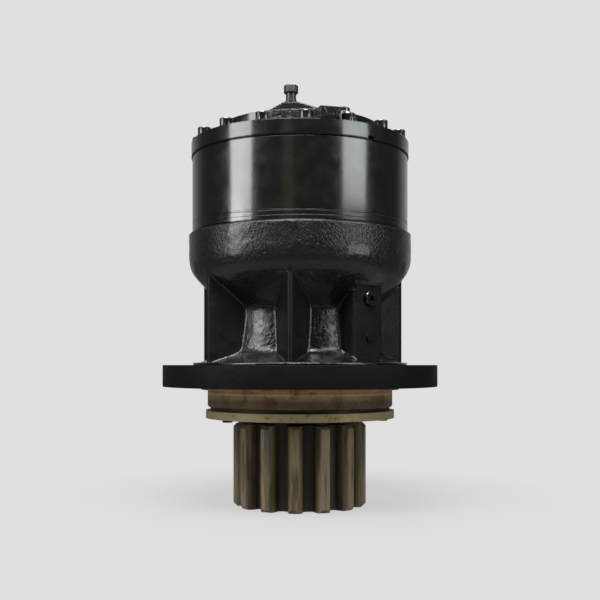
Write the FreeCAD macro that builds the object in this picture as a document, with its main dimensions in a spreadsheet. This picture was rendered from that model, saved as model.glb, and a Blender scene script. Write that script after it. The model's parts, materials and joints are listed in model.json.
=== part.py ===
"""Swing gearbox: a two-stage planetary reducer in a cast, flanged housing.

Millimetres, +Z up along the output axis, the photographed front towards -Y.
The origin is the centre of the flange's underside, the face that the machine carries.
Angles in the sheet are degrees from the front (-Y), positive towards +X.
"""

import FreeCAD, Part
import math
import os

import Sketcher
from FreeCAD import Placement, Rotation, Vector

DRIVING_SIZES = {
    "Mounting flange and spigot": {
        "flange_radius": 174,
        "flange_thickness": 27,
        "flange_hole_count": 12,
        "flange_hole_radius": 11,
        "flange_hole_circle": 152.5,
        "flange_hole_angle": 10,
        "step_radius": 136,
        "step_height": 3,
        "lip_radius": 126,
        "lip_length": 4,
        "spigot_radius": 117.5,
        "spigot_length": 22,
        "spigot_chamfer": 2,
    },
    "Tool travel beyond a blank": {
        "cut_overrun": 1,
    },
    "Cast housing": {
        "foot_radius": 118,
        "foot_height": 14,
        "neck_low_radius": 99,
        "neck_top_radius": 94,
        "neck_top_level": 98,
        "funnel_top_radius": 134,
        "funnel_height": 38,
        "bulge_radius": 141,
        "bulge_rounding": 14,
        "bulge_height": 40.7,
        "funnel_wall": 15,
        "chamber_radius": 118,
        "rib_count": 7,
        "rib_angle": 97.86,
        "rib_radius": 133,
        "rib_edge_width": 4,
        "rib_root_width": 42,
        "rib_root_radius": 90,
        "rib_top_level": 140,
    },
    "Port boss on the neck": {
        "boss_angle": 44,
        "boss_face_radius": 118,
        "boss_root_radius": 91,
        "boss_width": 45,
        "boss_face_top": 123,
        "boss_slope": 11,
        "boss_overhang": 2,
        "drain_level": 106,
        "drain_thread_radius": 6.6,
        "drain_thread_length": 14,
        "drain_head_radius": 9.5,
        "drain_head_height": 4.6,
        "drain_hex_radius": 4,
        "drain_hex_depth": 6,
        "grease_level": 60,
        "grease_thread_radius": 4,
        "grease_thread_length": 10,
        "grease_head_radius": 5.5,
        "grease_head_height": 2.5,
    },
    "Ring gear": {
        "ring_radius": 136.75,
        "ring_length": 97.3,
        "ring_register_length": 5,
        "ring_register_radius": 117.9,
        "ring_teeth": 54,
        "ring_line_level": 13,
        "ring_line_width": 1,
        "ring_line_depth": 0.5,
        "stage_module": 4,
        "stage_root_clearance": 1,
        "pressure_angle": 20,
        "stage_backlash": 0.4,
    },
    "Planet stages": {
        "sun_teeth": 18,
        "planet_teeth": 18,
        "planet_count": 3,
        "planet_bore_radius": 21,
        "bush_wall": 4.9,
        "pin_clearance": 0.05,
        "stage_two_bottom": 192,
        "stage_two_width": 43,
        "stage_one_bottom": 261.2,
        "stage_one_width": 20,
        "washer_thickness": 2.4,
        "washer_radius": 28,
        "washer_play": 0.3,
    },
    "Stage two carrier": {
        "carrier_two_radius": 102.5,
        "carrier_two_plate": 22,
        "carrier_two_hub_radius": 62,
        "carrier_two_nut_gap": 2.5,
        "carrier_two_recess_radius": 44,
        "carrier_two_recess_depth": 3,
        "carrier_two_top_radius": 99,
        "carrier_two_top_plate": 8,
        "carrier_two_eye_radius": 43,
        "carrier_post_inner": 58,
        "carrier_post_outer": 97,
        "carrier_post_inner_width": 14,
        "carrier_post_outer_width": 44,
    },
    "Stage one carrier": {
        "carrier_one_radius": 99,
        "carrier_one_plate": 10,
        "carrier_gap": 1.2,
        "carrier_one_bore_radius": 28,
        "carrier_one_hub_radius": 42,
        "circlip_radius": 19.5,
        "circlip_thickness": 1.5,
        "circlip_depth": 1.2,
    },
    "Sun shafts": {
        "sun_two_bottom": 196.5,
        "sun_one_hub_radius": 29,
        "sun_one_top": 301,
        "input_bore_radius": 16,
        "input_spline_depth": 2.2,
        "input_spline_count": 16,
        "input_spline_length": 36,
        "thrust_button_radius": 16,
        "thrust_washer_radius": 34,
    },
    "Top cover": {
        "cover_radius": 138,
        "cover_rim_height": 18,
        "cover_boss_radius": 105,
        "cover_boss_top_radius": 103,
        "cover_boss_height": 20,
        "cover_cavity_radius": 106,
        "cover_roof": 30,
        "cover_register_radius": 117.9,
        "motor_pilot_radius": 62.5,
        "motor_pilot_depth": 9,
        "motor_bore_radius": 48,
        "motor_stud_circle": 80,
        "motor_stud_radius": 5.1,
        "motor_stud_depth": 22,
        "motor_stud_count": 4,
        "motor_stud_angle": 45,
        "lug_angle": 14.5,
        "lug_width": 24,
        "lug_inner_radius": 104,
        "lug_height": 14,
        "ramp_angle": -6.7,
        "ramp_left_run": 26,
        "ramp_right_run": 37,
        "ramp_crest": 8,
        "ramp_height": 9.3,
        "ramp_inner_radius": 83,
        "ramp_outer_radius": 98.4,
        "pry_count": 2,
        "pry_angle": 36.6,
        "pry_width": 8,
        "pry_height": 4,
        "pry_depth": 5,
    },
    "Cover screws and dowels": {
        "cover_screw_count": 16,
        "cover_screw_circle": 129,
        "cover_screw_angle": 3,
        "screw_radius": 5,
        "screw_clearance": 0.5,
        "screw_head_radius": 8,
        "screw_head_height": 10,
        "screw_hex_radius": 4.6,
        "screw_hex_depth": 5,
        "screw_thread_depth": 20,
        "screw_chamfer": 1,
        "dowel_count": 2,
        "dowel_radius": 4,
        "dowel_reach": 12,
        "dowel_clearance": 0.02,
        "dowel_angle": 59.25,
    },
    "Breather and filler": {
        "breather_angle": -6.7,
        "breather_circle": 90.7,
        "vent_radius": 2,
        "stem_radius": 6,
        "stem_height": 12,
        "stem_flange_radius": 7,
        "stem_flange_height": 3,
        "stem_thread_length": 9,
        "cap_radius": 8.5,
        "cap_height": 9.4,
        "cap_recess": 5,
        "cap_rounding": 2,
        "cap_clearance": 0.05,
        "cap_knurl_count": 24,
        "cap_knurl_radius": 0.8,
        "filler_angle": 33,
        "filler_circle": 95,
        "filler_thread_radius": 6.6,
        "filler_thread_length": 12,
        "filler_head_radius": 7.8,
        "filler_head_height": 5.5,
        "filler_washer_radius": 9.5,
        "seal_washer_thickness": 1.5,
        "filler_hex_radius": 4,
        "filler_hex_depth": 4,
    },
    "Output shaft": {
        "shaft_seat_low": 50,
        "shaft_waist": 48.5,
        "shaft_seat_high": 45,
        "shaft_thread": 42.5,
        "shaft_spline": 40,
        "shaft_spline_root": 37.6,
        "shaft_spline_count": 20,
        "shaft_top_above_hub": 4,
        "shaft_ring_groove": 2.5,
        "shaft_ring_thickness": 2,
        "shaft_end_chamfer": 1.5,
        "nut_radius": 58,
        "nut_height": 15,
        "nut_slot_count": 4,
        "nut_slot_width": 10,
        "nut_slot_depth": 5,
        "fit_play": 0.02,
    },
    "Bearings": {
        "low_bearing_outer": 90,
        "low_bearing_pitch": 72,
        "low_cup_bottom": -20,
        "low_cup_width": 42,
        "low_cone_bottom": -24,
        "low_cone_width": 49,
        "low_roller_radius": 10,
        "low_roller_length": 32,
        "low_roller_count": 19,
        "high_bearing_outer": 80,
        "high_bearing_pitch": 62.5,
        "high_cup_bottom": 65,
        "high_cup_width": 34,
        "high_cone_bottom": 63,
        "high_cone_width": 42.5,
        "high_roller_radius": 8.2,
        "high_roller_length": 27,
        "high_roller_count": 19,
        "roller_tilt": 13,
        "roller_taper": 2,
        "roller_gap": 0.06,
        "cone_rib": 4,
        "cone_rib_height": 5,
        "cage_wall": 2.4,
        "cage_overhang": 3,
        "cage_clearance": 0.3,
        "shoulder_radius": 74,
    },
    "Seal and retainer plate": {
        "shim_thickness": 3.8,
        "shim_radius": 114,
        "shim_bore": 97,
        "plate_radius": 119.75,
        "plate_thickness": 9.7,
        "plate_seal_bore": 72,
        "plate_screw_count": 8,
        "plate_screw_circle": 105.5,
        "plate_screw_angle": 33.5,
        "plate_screw_radius": 4,
        "plate_screw_reach": 18,
        "plate_screw_head_radius": 6.5,
        "plate_screw_head_height": 8,
        "plate_screw_hex_radius": 3.25,
        "plate_screw_hex_depth": 4,
        "plate_counterbore": 4.6,
        "sleeve_radius": 57.3,
        "seal_lip_gap": 0.06,
        "seal_height": 12,
        "seal_wall": 3,
        "seal_lip_height": 4,
    },
    "Output pinion": {
        "pinion_module": 11,
        "pinion_teeth": 14,
        "pinion_addendum": 8,
        "pinion_dedendum": 11,
        "pinion_top": -46.5,
        "pinion_length": 103.8,
        "pinion_end_chamfer": 4,
        "pinion_backlash": 0.2,
        "pinion_angle": -4.4,
        "pinion_flank_points": 6,
        "pinion_bed_rise": 1.28,
        "pinion_bed_across": 5.13,
        "pinion_centre_radius": 12,
        "pinion_centre_depth": 8,
    },
}


class Term:
    """A size that keeps its number together with the sheet formula that gives it."""

    def __init__(self, value, text):
        self.value = float(value)
        self.text = text

    def __float__(self):
        return self.value

    def __add__(self, other):
        other = as_term(other)
        return Term(self.value + other.value, f"({self.text} + {other.text})")

    def __radd__(self, other):
        return as_term(other) + self

    def __sub__(self, other):
        other = as_term(other)
        return Term(self.value - other.value, f"({self.text} - {other.text})")

    def __rsub__(self, other):
        return as_term(other) - self

    def __mul__(self, other):
        other = as_term(other)
        return Term(self.value * other.value, f"({self.text} * {other.text})")

    def __rmul__(self, other):
        return as_term(other) * self

    def __truediv__(self, other):
        other = as_term(other)
        return Term(self.value / other.value, f"({self.text} / {other.text})")

    def __rtruediv__(self, other):
        return as_term(other) / self

    def __neg__(self):
        return Term(-self.value, f"(0 - {self.text})")


def as_term(number):
    """Wrap a plain number so that it can stand in a formula."""
    if isinstance(number, Term):
        return number
    return Term(number, repr(float(number)))


def cosine(angle):
    """Cosine of a Term in degrees."""
    angle = as_term(angle)
    return Term(math.cos(math.radians(angle.value)), f"cos({angle.text})")


def sine(angle):
    """Sine of a Term in degrees."""
    angle = as_term(angle)
    return Term(math.sin(math.radians(angle.value)), f"sin({angle.text})")


def tangent(angle):
    """Tangent of a Term in degrees."""
    angle = as_term(angle)
    return Term(math.tan(math.radians(angle.value)), f"tan({angle.text})")


class Sizes:
    """The driving dimensions, each a cell of the sheet with an alias."""

    def __init__(self, document, groups):
        self._terms = {}
        sheet = document.addObject("Spreadsheet::Sheet", "Sizes")
        row = 1
        for heading, cells in groups.items():
            sheet.set(f"A{row}", heading)
            row += 1
            for alias, number in cells.items():
                sheet.set(f"A{row}", alias.replace("_", " "))
                sheet.set(f"B{row}", str(number))
                sheet.setAlias(f"B{row}", alias)
                row += 1
        document.recompute()
        for cells in groups.values():
            for alias in cells:
                self._terms[alias] = Term(sheet.get(alias), f"Sizes.{alias}")

    def __getattr__(self, alias):
        if alias not in self._terms:
            raise AttributeError(alias)
        return self._terms[alias]


def polar(radius, across, from_front):
    """Point at a radius and a tangential offset, for an angle counted from the front."""
    radius = as_term(radius)
    across = as_term(across)
    x_place = radius * sine(from_front) + across * cosine(from_front)
    y_place = across * sine(from_front) - radius * cosine(from_front)
    return (x_place, y_place)


def new_body(name):
    """An empty body whose label is its name."""
    return doc.addObject("PartDesign::Body", name)


def origin_plane(body, role):
    """One of the body's own origin planes."""
    return [item for item in body.Origin.OriginFeatures if item.Role == role][0]


def new_sketch(body, name, role, level=None):
    """A sketch on an origin plane of the body, lifted to a level."""
    sketch = body.newObject("Sketcher::SketchObject", name)
    sketch.AttachmentSupport = [(origin_plane(body, role), "")]
    sketch.MapMode = "FlatFace"
    if level is not None:
        sketch.setExpression(".AttachmentOffset.Base.z", as_term(level).text)
    return sketch


def pin_point(sketch, edge, corner, x_place, y_place):
    """Tie one point of a sketch to its place, by formula or on the axis."""
    for kind, axis, place in (("DistanceX", -2, x_place), ("DistanceY", -1, y_place)):
        place = as_term(place)
        if abs(place.value) < 1e-9:
            sketch.addConstraint(Sketcher.Constraint("PointOnObject", edge, corner, axis))
            continue
        index = sketch.addConstraint(
            Sketcher.Constraint(kind, -1, 1, edge, corner, place.value)
        )
        label = f"{kind}_{edge}_{corner}"
        sketch.renameConstraint(index, label)
        sketch.setExpression(f"Constraints.{label}", place.text)


def draw_outline(sketch, corners):
    """Closed outline of straight edges through corners given as Terms."""
    places = [Vector(float(x), float(y), 0) for x, y in corners]
    count = len(places)
    first = sketch.GeometryCount
    edges = [Part.LineSegment(places[i], places[(i + 1) % count]) for i in range(count)]
    sketch.addGeometry(edges, False)
    joins = [
        Sketcher.Constraint("Coincident", first + i, 2, first + (i + 1) % count, 1)
        for i in range(count)
    ]
    sketch.addConstraint(joins)
    for i, (x_place, y_place) in enumerate(corners):
        pin_point(sketch, first + i, 1, x_place, y_place)
    return sketch


def draw_circle(sketch, centre, radius):
    """Circle with a bound centre and radius."""
    radius = as_term(radius)
    place = Vector(float(centre[0]), float(centre[1]), 0)
    edge = sketch.addGeometry(Part.Circle(place, Vector(0, 0, 1), radius.value), False)
    pin_point(sketch, edge, 3, *centre)
    index = sketch.addConstraint(Sketcher.Constraint("Radius", edge, radius.value))
    sketch.renameConstraint(index, f"Radius_{edge}")
    sketch.setExpression(f"Constraints.Radius_{edge}", radius.text)
    return sketch


def turned(body, name, corners):
    """Revolve a profile of (radius, level) corners about the axis."""
    sketch = draw_outline(new_sketch(body, f"{name}_profile", "XZ_Plane"), corners)
    feature = body.newObject("PartDesign::Revolution", name)
    feature.Profile = sketch
    feature.ReferenceAxis = (sketch, ["V_Axis"])
    feature.Angle = 360
    return feature


def turned_piece(name, corners):
    """A body that is one turned profile."""
    body = new_body(name)
    turned(body, f"{name}_turning", corners)
    return body


def raised(body, name, level, height, corners):
    """Pad an outline upwards from a level."""
    sketch = draw_outline(new_sketch(body, f"{name}_outline", "XY_Plane", level), corners)
    pad = body.newObject("PartDesign::Pad", name)
    pad.Profile = sketch
    pad.setExpression("Length", as_term(height).text)
    return pad


def sunk(body, name, level, depth, corners):
    """Pocket an outline downwards from a level."""
    sketch = draw_outline(new_sketch(body, f"{name}_outline", "XY_Plane", level), corners)
    pocket = body.newObject("PartDesign::Pocket", name)
    pocket.Profile = sketch
    pocket.setExpression("Length", as_term(depth).text)
    return pocket


def drilled(body, name, level, depth, centre, radius):
    """Pocket a round hole downwards from a level."""
    sketch = draw_circle(new_sketch(body, f"{name}_circle", "XY_Plane", level), centre, radius)
    pocket = body.newObject("PartDesign::Pocket", name)
    pocket.Profile = sketch
    pocket.setExpression("Length", as_term(depth).text)
    return pocket


def lofted(body, name, levels, outlines):
    """Loft between two outlines at two levels."""
    sketches = [
        draw_outline(new_sketch(body, f"{name}_outline_{i}", "XY_Plane", level), corners)
        for i, (level, corners) in enumerate(zip(levels, outlines))
    ]
    loft = body.newObject("PartDesign::AdditiveLoft", name)
    loft.Profile = sketches[0]
    loft.Sections = [sketches[1]]
    loft.Ruled = True
    return loft


def repeated(body, feature, count, span=None):
    """Repeat a feature evenly round the axis; a span leaves the circle open."""
    pattern = body.newObject("PartDesign::PolarPattern", f"{feature.Name}_pattern")
    pattern.Originals = [feature]
    pattern.Axis = (feature.Profile[0], ["N_Axis"])
    pattern.Angle = 360
    if span is not None:
        pattern.setExpression("Angle", as_term(span).text)
    pattern.Occurrences = int(round(float(count)))
    pattern.setExpression("Occurrences", as_term(count).text)
    body.Tip = pattern
    return pattern


def block_outline(inner, outer, inner_width, outer_width, from_front):
    """Four corners of a radial block, seen from above."""
    return [
        polar(inner, -(inner_width / 2), from_front),
        polar(outer, -(outer_width / 2), from_front),
        polar(outer, outer_width / 2, from_front),
        polar(inner, inner_width / 2, from_front),
    ]


def hexagon(radius):
    """Corners of a hexagon about the origin."""
    return [(radius * cosine(60 * i), radius * sine(60 * i)) for i in range(6)]


def shaped(name, shape):
    """A feature whose shape comes from code."""
    feature = doc.addObject("Part::Feature", name)
    feature.Shape = shape
    return feature


def cut_from(name, base, tool):
    """Cut one object from another, as a new object."""
    cut = doc.addObject("Part::Cut", name)
    cut.Base = base
    cut.Tool = tool
    return cut


def prism(points, bottom, height):
    """Straight prism over a closed polygon of (x, y) points."""
    wire = Part.makePolygon([Vector(x, y, bottom) for x, y in points + points[:1]])
    return Part.Face(wire).extrude(Vector(0, 0, height))


def round_copies(shape, count, turn=0.0):
    """Compound of even copies of a shape round the axis."""
    copies = []
    for index in range(int(round(float(count)))):
        copy = shape.copy()
        copy.rotate(Vector(0, 0, 0), Vector(0, 0, 1), turn + index * 360.0 / float(count))
        copies.append(copy)
    return Part.makeCompound(copies)


def copies_round(name, master, radius, level, count, from_front):
    """Separate solids, copies of a master, set upright on a circle."""
    doc.recompute()
    one = master.Shape.copy()
    one.translate(Vector(float(radius), 0, float(level)))
    return shaped(name, round_copies(one, count, float(from_front) - 90.0))


def involute(angle):
    """Involute function of an angle in radians."""
    return math.tan(angle) - angle


class Teeth:
    """Involute proportions of a gear whose first tooth lies on the X axis."""

    def __init__(self, module, count, addendum, dedendum, backlash=0.0):
        self.module = float(module)
        self.count = int(round(float(count)))
        self.backlash = float(backlash)
        self.slant = math.radians(float(size.pressure_angle))
        self.pitch = self.module * self.count / 2
        self.base = self.pitch * math.cos(self.slant)
        self.tip = self.pitch + float(addendum)
        self.root = self.pitch - float(dedendum)

    def half_tooth(self, radius):
        """Half the angle that a tooth takes at a radius."""
        reach = max(radius, self.base)
        lean = involute(self.slant) - involute(math.acos(self.base / reach))
        thick = math.pi / 2 / self.count
        return thick + lean - self.backlash / (2 * self.pitch)

    def half_gap(self, radius):
        """Half the angle that a tooth space takes at a radius."""
        return math.pi / self.count - self.half_tooth(radius)

    def gap_points(self, radii):
        """One tooth space centred on the X axis, from the outermost radius inwards and back."""
        near = [self._at(radius, self.half_gap(radius)) for radius in radii]
        far = [(x, -y) for x, y in reversed(near)]
        return near + far

    def inner_space_points(self, radii):
        """One space of an internal gear of this count, centred on the X axis."""
        play = self.backlash / self.pitch
        near = [self._at(radius, self.half_tooth(radius) + play) for radius in radii]
        far = [(x, -y) for x, y in reversed(near)]
        return near + far

    @staticmethod
    def _at(radius, angle):
        return (radius * math.cos(angle), radius * math.sin(angle))


class Levels:
    """Heights that several pieces share, worked out from the driving sizes."""

    def __init__(self):
        self.flange_top = size.flange_thickness
        self.step_top = self.flange_top + size.step_height
        self.foot_top = self.step_top + size.foot_height
        self.neck_top = size.neck_top_level
        self.funnel_top = self.neck_top + size.funnel_height
        self.bulge_bottom = self.funnel_top + size.bulge_rounding
        self.housing_top = self.bulge_bottom + size.bulge_height
        self.ring_bottom = self.housing_top - size.ring_register_length
        self.ring_top = self.housing_top + size.ring_length
        self.rim_top = self.ring_top + size.cover_rim_height
        self.cover_top = self.rim_top + size.cover_boss_height
        self.ramp_top = self.cover_top + size.ramp_height
        self.spigot_bottom = -(size.lip_length + size.spigot_length)
        self.shim_bottom = self.spigot_bottom - size.shim_thickness
        self.plate_bottom = self.shim_bottom - size.plate_thickness
        self.pinion_bottom = size.pinion_top - size.pinion_length
        self.low_cup_top = size.low_cup_bottom + size.low_cup_width
        self.low_cone_top = size.low_cone_bottom + size.low_cone_width
        self.high_cup_top = size.high_cup_bottom + size.high_cup_width
        self.high_cone_top = size.high_cone_bottom + size.high_cone_width
        self.nut_top = self.high_cone_top + size.nut_height
        self.carrier_two_hub_bottom = self.nut_top + size.carrier_two_nut_gap
        self.washer_two_bottom = size.stage_two_bottom - size.washer_thickness - size.washer_play
        self.carrier_two_bottom = self.washer_two_bottom - size.carrier_two_plate
        self.stage_two_top = size.stage_two_bottom + size.stage_two_width
        self.carrier_two_roof = self.stage_two_top + size.washer_thickness + size.washer_play
        self.carrier_two_top = self.carrier_two_roof + size.carrier_two_top_plate
        self.carrier_one_bottom = self.carrier_two_top + size.carrier_gap
        self.carrier_one_top = self.carrier_one_bottom + size.carrier_one_plate
        self.stage_one_top = size.stage_one_bottom + size.stage_one_width
        self.hub_top = self.washer_two_bottom - size.carrier_two_recess_depth


def centre_distance():
    """Distance from the axis to a planet pin, for either stage."""
    return size.stage_module * (size.sun_teeth + size.planet_teeth) / 2


def planet_angles():
    """Angles of the planets from the X axis, in degrees."""
    count = int(round(float(size.planet_count)))
    return [index * 360.0 / count for index in range(count)]


def pin_radius():
    """Radius of a planet pin, which fits the bush in the planet's bore."""
    return size.planet_bore_radius - size.bush_wall - size.pin_clearance


def housing_casting():
    """Flange, spigot, waisted neck, funnel and bulge, turned in one with the bores."""
    body = new_body("housing_casting")
    low_wall = size.spigot_radius - size.spigot_chamfer
    inner_top = size.chamber_radius - size.high_bearing_outer
    funnel_start = level.neck_top + size.funnel_wall / 2
    corners = [
        (size.low_bearing_outer + size.fit_play, level.spigot_bottom),
        (low_wall, level.spigot_bottom),
        (size.spigot_radius, level.spigot_bottom + size.spigot_chamfer),
        (size.spigot_radius, -size.lip_length),
        (size.lip_radius, -size.lip_length),
        (size.lip_radius, as_term(0)),
        (size.flange_radius, as_term(0)),
        (size.flange_radius, level.flange_top),
        (size.step_radius, level.flange_top),
        (size.step_radius, level.step_top),
        (size.foot_radius, level.step_top),
        (size.neck_low_radius, level.foot_top),
        (size.neck_top_radius, level.neck_top),
        (size.funnel_top_radius, level.funnel_top),
        (size.bulge_radius, level.bulge_bottom),
        (size.bulge_radius, level.housing_top),
        (size.chamber_radius, level.housing_top),
        (size.chamber_radius, funnel_start + inner_top),
        (size.high_bearing_outer + size.fit_play, funnel_start),
        (size.high_bearing_outer + size.fit_play, size.high_cup_bottom),
        (size.shoulder_radius, size.high_cup_bottom),
        (size.shoulder_radius, level.low_cup_top),
        (size.low_bearing_outer + size.fit_play, level.low_cup_top),
    ]
    turned(body, "housing_turning", corners)
    return body


def add_housing_ribs(body):
    """Wedge ribs round the neck; the port boss takes the place of one."""
    outline = block_outline(
        size.rib_root_radius,
        size.rib_radius,
        size.rib_root_width,
        size.rib_edge_width,
        size.rib_angle,
    )
    rib = raised(body, "rib", level.flange_top, size.rib_top_level - level.flange_top, outline)
    span = (size.rib_count - 2) * 360 / size.rib_count
    repeated(body, rib, size.rib_count - 1, span)


def add_port_boss(body):
    """Machined flat boss on the neck, under a sloped brow that the casting leaves proud of it."""
    face = block_outline(
        size.boss_root_radius,
        size.boss_face_radius,
        size.boss_width,
        size.boss_width,
        size.boss_angle,
    )
    raised(body, "port_boss", level.flange_top, size.boss_face_top - level.flange_top, face)
    width = size.boss_width + size.boss_overhang * 2
    brow = block_outline(
        size.boss_root_radius,
        size.boss_face_radius + size.boss_overhang,
        width,
        width,
        size.boss_angle,
    )
    sloped = block_outline(
        size.boss_root_radius,
        size.boss_face_radius - size.boss_slope,
        width,
        width,
        size.boss_angle,
    )
    levels = (size.boss_face_top, size.boss_face_top + size.boss_slope)
    lofted(body, "port_boss_slope", levels, (brow, sloped))


def add_housing_holes(body):
    """Flange holes, tapped holes for the cover screws, dowel holes and plate screw holes."""
    spot = polar(size.flange_hole_circle, 0, size.flange_hole_angle)
    hole = drilled(
        body, "flange_hole", level.flange_top, size.flange_thickness, spot, size.flange_hole_radius
    )
    repeated(body, hole, size.flange_hole_count)
    spot = polar(size.cover_screw_circle, 0, size.cover_screw_angle)
    depth = size.screw_thread_depth + size.screw_clearance
    hole = drilled(body, "screw_hole", level.housing_top, depth, spot, size.screw_radius)
    repeated(body, hole, size.cover_screw_count)
    spot = polar(size.cover_screw_circle, 0, size.dowel_angle)
    fit = size.dowel_radius + size.dowel_clearance
    hole = drilled(body, "dowel_hole", level.housing_top, size.dowel_reach, spot, fit)
    repeated(body, hole, size.dowel_count)
    spot = polar(size.plate_screw_circle, 0, size.plate_screw_angle)
    top = level.spigot_bottom + size.plate_screw_reach
    hole = drilled(
        body, "plate_screw_hole", top, size.plate_screw_reach, spot, size.plate_screw_radius
    )
    repeated(body, hole, size.plate_screw_count)


def radial_rod(name, radius, inner, outer, height, from_front):
    """Cylinder that points outwards at an angle and a height."""
    rod = doc.addObject("Part::Cylinder", name)
    rod.setExpression("Radius", as_term(radius).text)
    rod.setExpression("Height", as_term(outer - inner).text)
    rod.Placement = facing_outwards(from_front)
    x_place, y_place = polar(inner, 0, from_front)
    rod.setExpression(".Placement.Base.x", x_place.text)
    rod.setExpression(".Placement.Base.y", y_place.text)
    rod.setExpression(".Placement.Base.z", as_term(height).text)
    return rod


def facing_outwards(from_front):
    """Rotation that turns +Z to point away from the axis at an angle from the front."""
    spin = Rotation(Vector(0, 0, 1), float(from_front) - 90.0)
    tip = Rotation(Vector(0, 1, 0), 90.0)
    return Placement(Vector(0, 0, 0), spin * tip)


def gear_housing():
    """The cast lower housing, complete."""
    body = housing_casting()
    add_housing_ribs(body)
    add_port_boss(body)
    add_housing_holes(body)
    drain = radial_rod(
        "drain_hole",
        size.drain_thread_radius,
        size.shoulder_radius,
        size.boss_face_radius,
        size.drain_level,
        size.boss_angle,
    )
    grease = radial_rod(
        "grease_hole",
        size.grease_thread_radius,
        size.shoulder_radius - size.grease_thread_radius,
        size.boss_face_radius,
        size.grease_level,
        size.boss_angle,
    )
    drilled_once = cut_from("housing_drained", body, drain)
    return cut_from("gear_housing", drilled_once, grease)


def stage_teeth(count):
    """Full-depth teeth of the planet stages."""
    module = size.stage_module
    return Teeth(module, count, module, module + size.stage_root_clearance, size.stage_backlash)


def ring_gear():
    """Ring gear for both stages, with its smooth outside, register and turned line."""
    blank = new_body("ring_gear_blank")
    teeth = stage_teeth(size.ring_teeth)
    tip = size.stage_module * (size.ring_teeth / 2 - 1)
    line_low = level.housing_top + size.ring_line_level
    line_high = line_low + size.ring_line_width
    line_radius = size.ring_radius - size.ring_line_depth
    corners = [
        (tip, level.ring_bottom),
        (size.ring_register_radius, level.ring_bottom),
        (size.ring_register_radius, level.housing_top),
        (size.ring_radius, level.housing_top),
        (size.ring_radius, line_low),
        (line_radius, line_low),
        (line_radius, line_high),
        (size.ring_radius, line_high),
        (size.ring_radius, level.ring_top),
        (size.chamber_radius, level.ring_top),
        (size.chamber_radius, level.ring_top - size.ring_register_length),
        (tip, level.ring_top - size.ring_register_length),
    ]
    turned(blank, "ring_turning", corners)
    spot = polar(size.cover_screw_circle, 0, size.cover_screw_angle)
    fit = size.screw_radius + size.screw_clearance
    hole = drilled(blank, "ring_screw_hole", level.ring_top, size.ring_length, spot, fit)
    repeated(blank, hole, size.cover_screw_count)
    spot = polar(size.cover_screw_circle, 0, size.dowel_angle)
    fit = size.dowel_radius + size.dowel_clearance
    lower = level.housing_top + size.dowel_reach
    hole = drilled(blank, "ring_dowel_hole", lower, size.dowel_reach, spot, fit)
    repeated(blank, hole, size.dowel_count)
    radii = [float(tip - size.cut_overrun), teeth.pitch, teeth.tip + float(size.stage_root_clearance)]
    bottom = float(level.ring_bottom)
    height = float(level.ring_top) - bottom
    space = prism(teeth.inner_space_points(radii), bottom, height)
    spaces = shaped("ring_gear_spaces", round_copies(space, size.ring_teeth))
    return cut_from("ring_gear", blank, spaces)


def toothed(name, blank, teeth, bottom, top, turn):
    """Cut straight tooth spaces from a turned blank."""
    radii = [teeth.tip + float(size.cut_overrun), teeth.tip, teeth.pitch, teeth.base, teeth.root]
    height = float(top) - float(bottom)
    space = prism(teeth.gap_points(radii), float(bottom), height)
    spaces = shaped(f"{name}_spaces", round_copies(space, teeth.count, turn))
    return cut_from(name, blank, spaces)


def planet_master(stage, bottom, width):
    """A planet gear on the axis, with a tooth on the X axis."""
    teeth = stage_teeth(size.planet_teeth)
    tip = size.stage_module * (size.planet_teeth / 2 + 1)
    top = bottom + width
    corners = [
        (size.planet_bore_radius, bottom),
        (tip, bottom),
        (tip, top),
        (size.planet_bore_radius, top),
    ]
    blank = turned_piece(f"planet_{stage}_blank", corners)
    return toothed(f"planet_{stage}_master", blank, teeth, bottom, top, 180.0 / teeth.count)


def bush_master(stage, bottom, width):
    """The bearing bush pressed into a planet."""
    inner = size.planet_bore_radius - size.bush_wall
    corners = [
        (inner, bottom),
        (size.planet_bore_radius, bottom),
        (size.planet_bore_radius, bottom + width),
        (inner, bottom + width),
    ]
    return turned_piece(f"planet_{stage}_bush_master", corners)


def planets(stage, bottom, width):
    """The planets of a stage and their bushes, each in place and in mesh."""
    gear = planet_master(stage, bottom, width)
    bush = bush_master(stage, bottom, width)
    doc.recompute()
    pieces = []
    for letter, angle in zip("abc", planet_angles()):
        for master, name in ((gear, f"planet_{stage}_{letter}"), (bush, f"bush_{stage}_{letter}")):
            copy = master.Shape.copy()
            copy.translate(Vector(float(centre_distance()), 0, 0))
            copy.rotate(Vector(0, 0, 0), Vector(0, 0, 1), angle)
            pieces.append(shaped(name, copy))
    return pieces


def on_pin_circle(name, master):
    """Copies of a master at each planet pin."""
    doc.recompute()
    one = master.Shape.copy()
    one.translate(Vector(float(centre_distance()), 0, 0))
    return shaped(name, round_copies(one, size.planet_count))


def washer_rings(name, inner, outer, levels):
    """Thrust washers at several levels on each planet pin."""
    rings = []
    for bottom, thickness in levels:
        ring = Part.makeCylinder(float(outer), float(thickness), Vector(0, 0, float(bottom)))
        hole = Part.makeCylinder(float(inner), float(thickness), Vector(0, 0, float(bottom)))
        rings.append(ring.cut(hole))
    compound = Part.makeCompound(rings)
    compound.translate(Vector(float(centre_distance()), 0, 0))
    solids = []
    for angle in planet_angles():
        turned_copy = compound.copy()
        turned_copy.rotate(Vector(0, 0, 0), Vector(0, 0, 1), angle)
        solids.extend(turned_copy.Solids)
    return shaped(name, Part.makeCompound(solids))


def add_pin_holes(body, name, top, depth):
    """Holes for the planet pins in a carrier plate."""
    hole = drilled(body, name, top, depth, (centre_distance(), as_term(0)), pin_radius())
    repeated(body, hole, size.planet_count)


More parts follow.
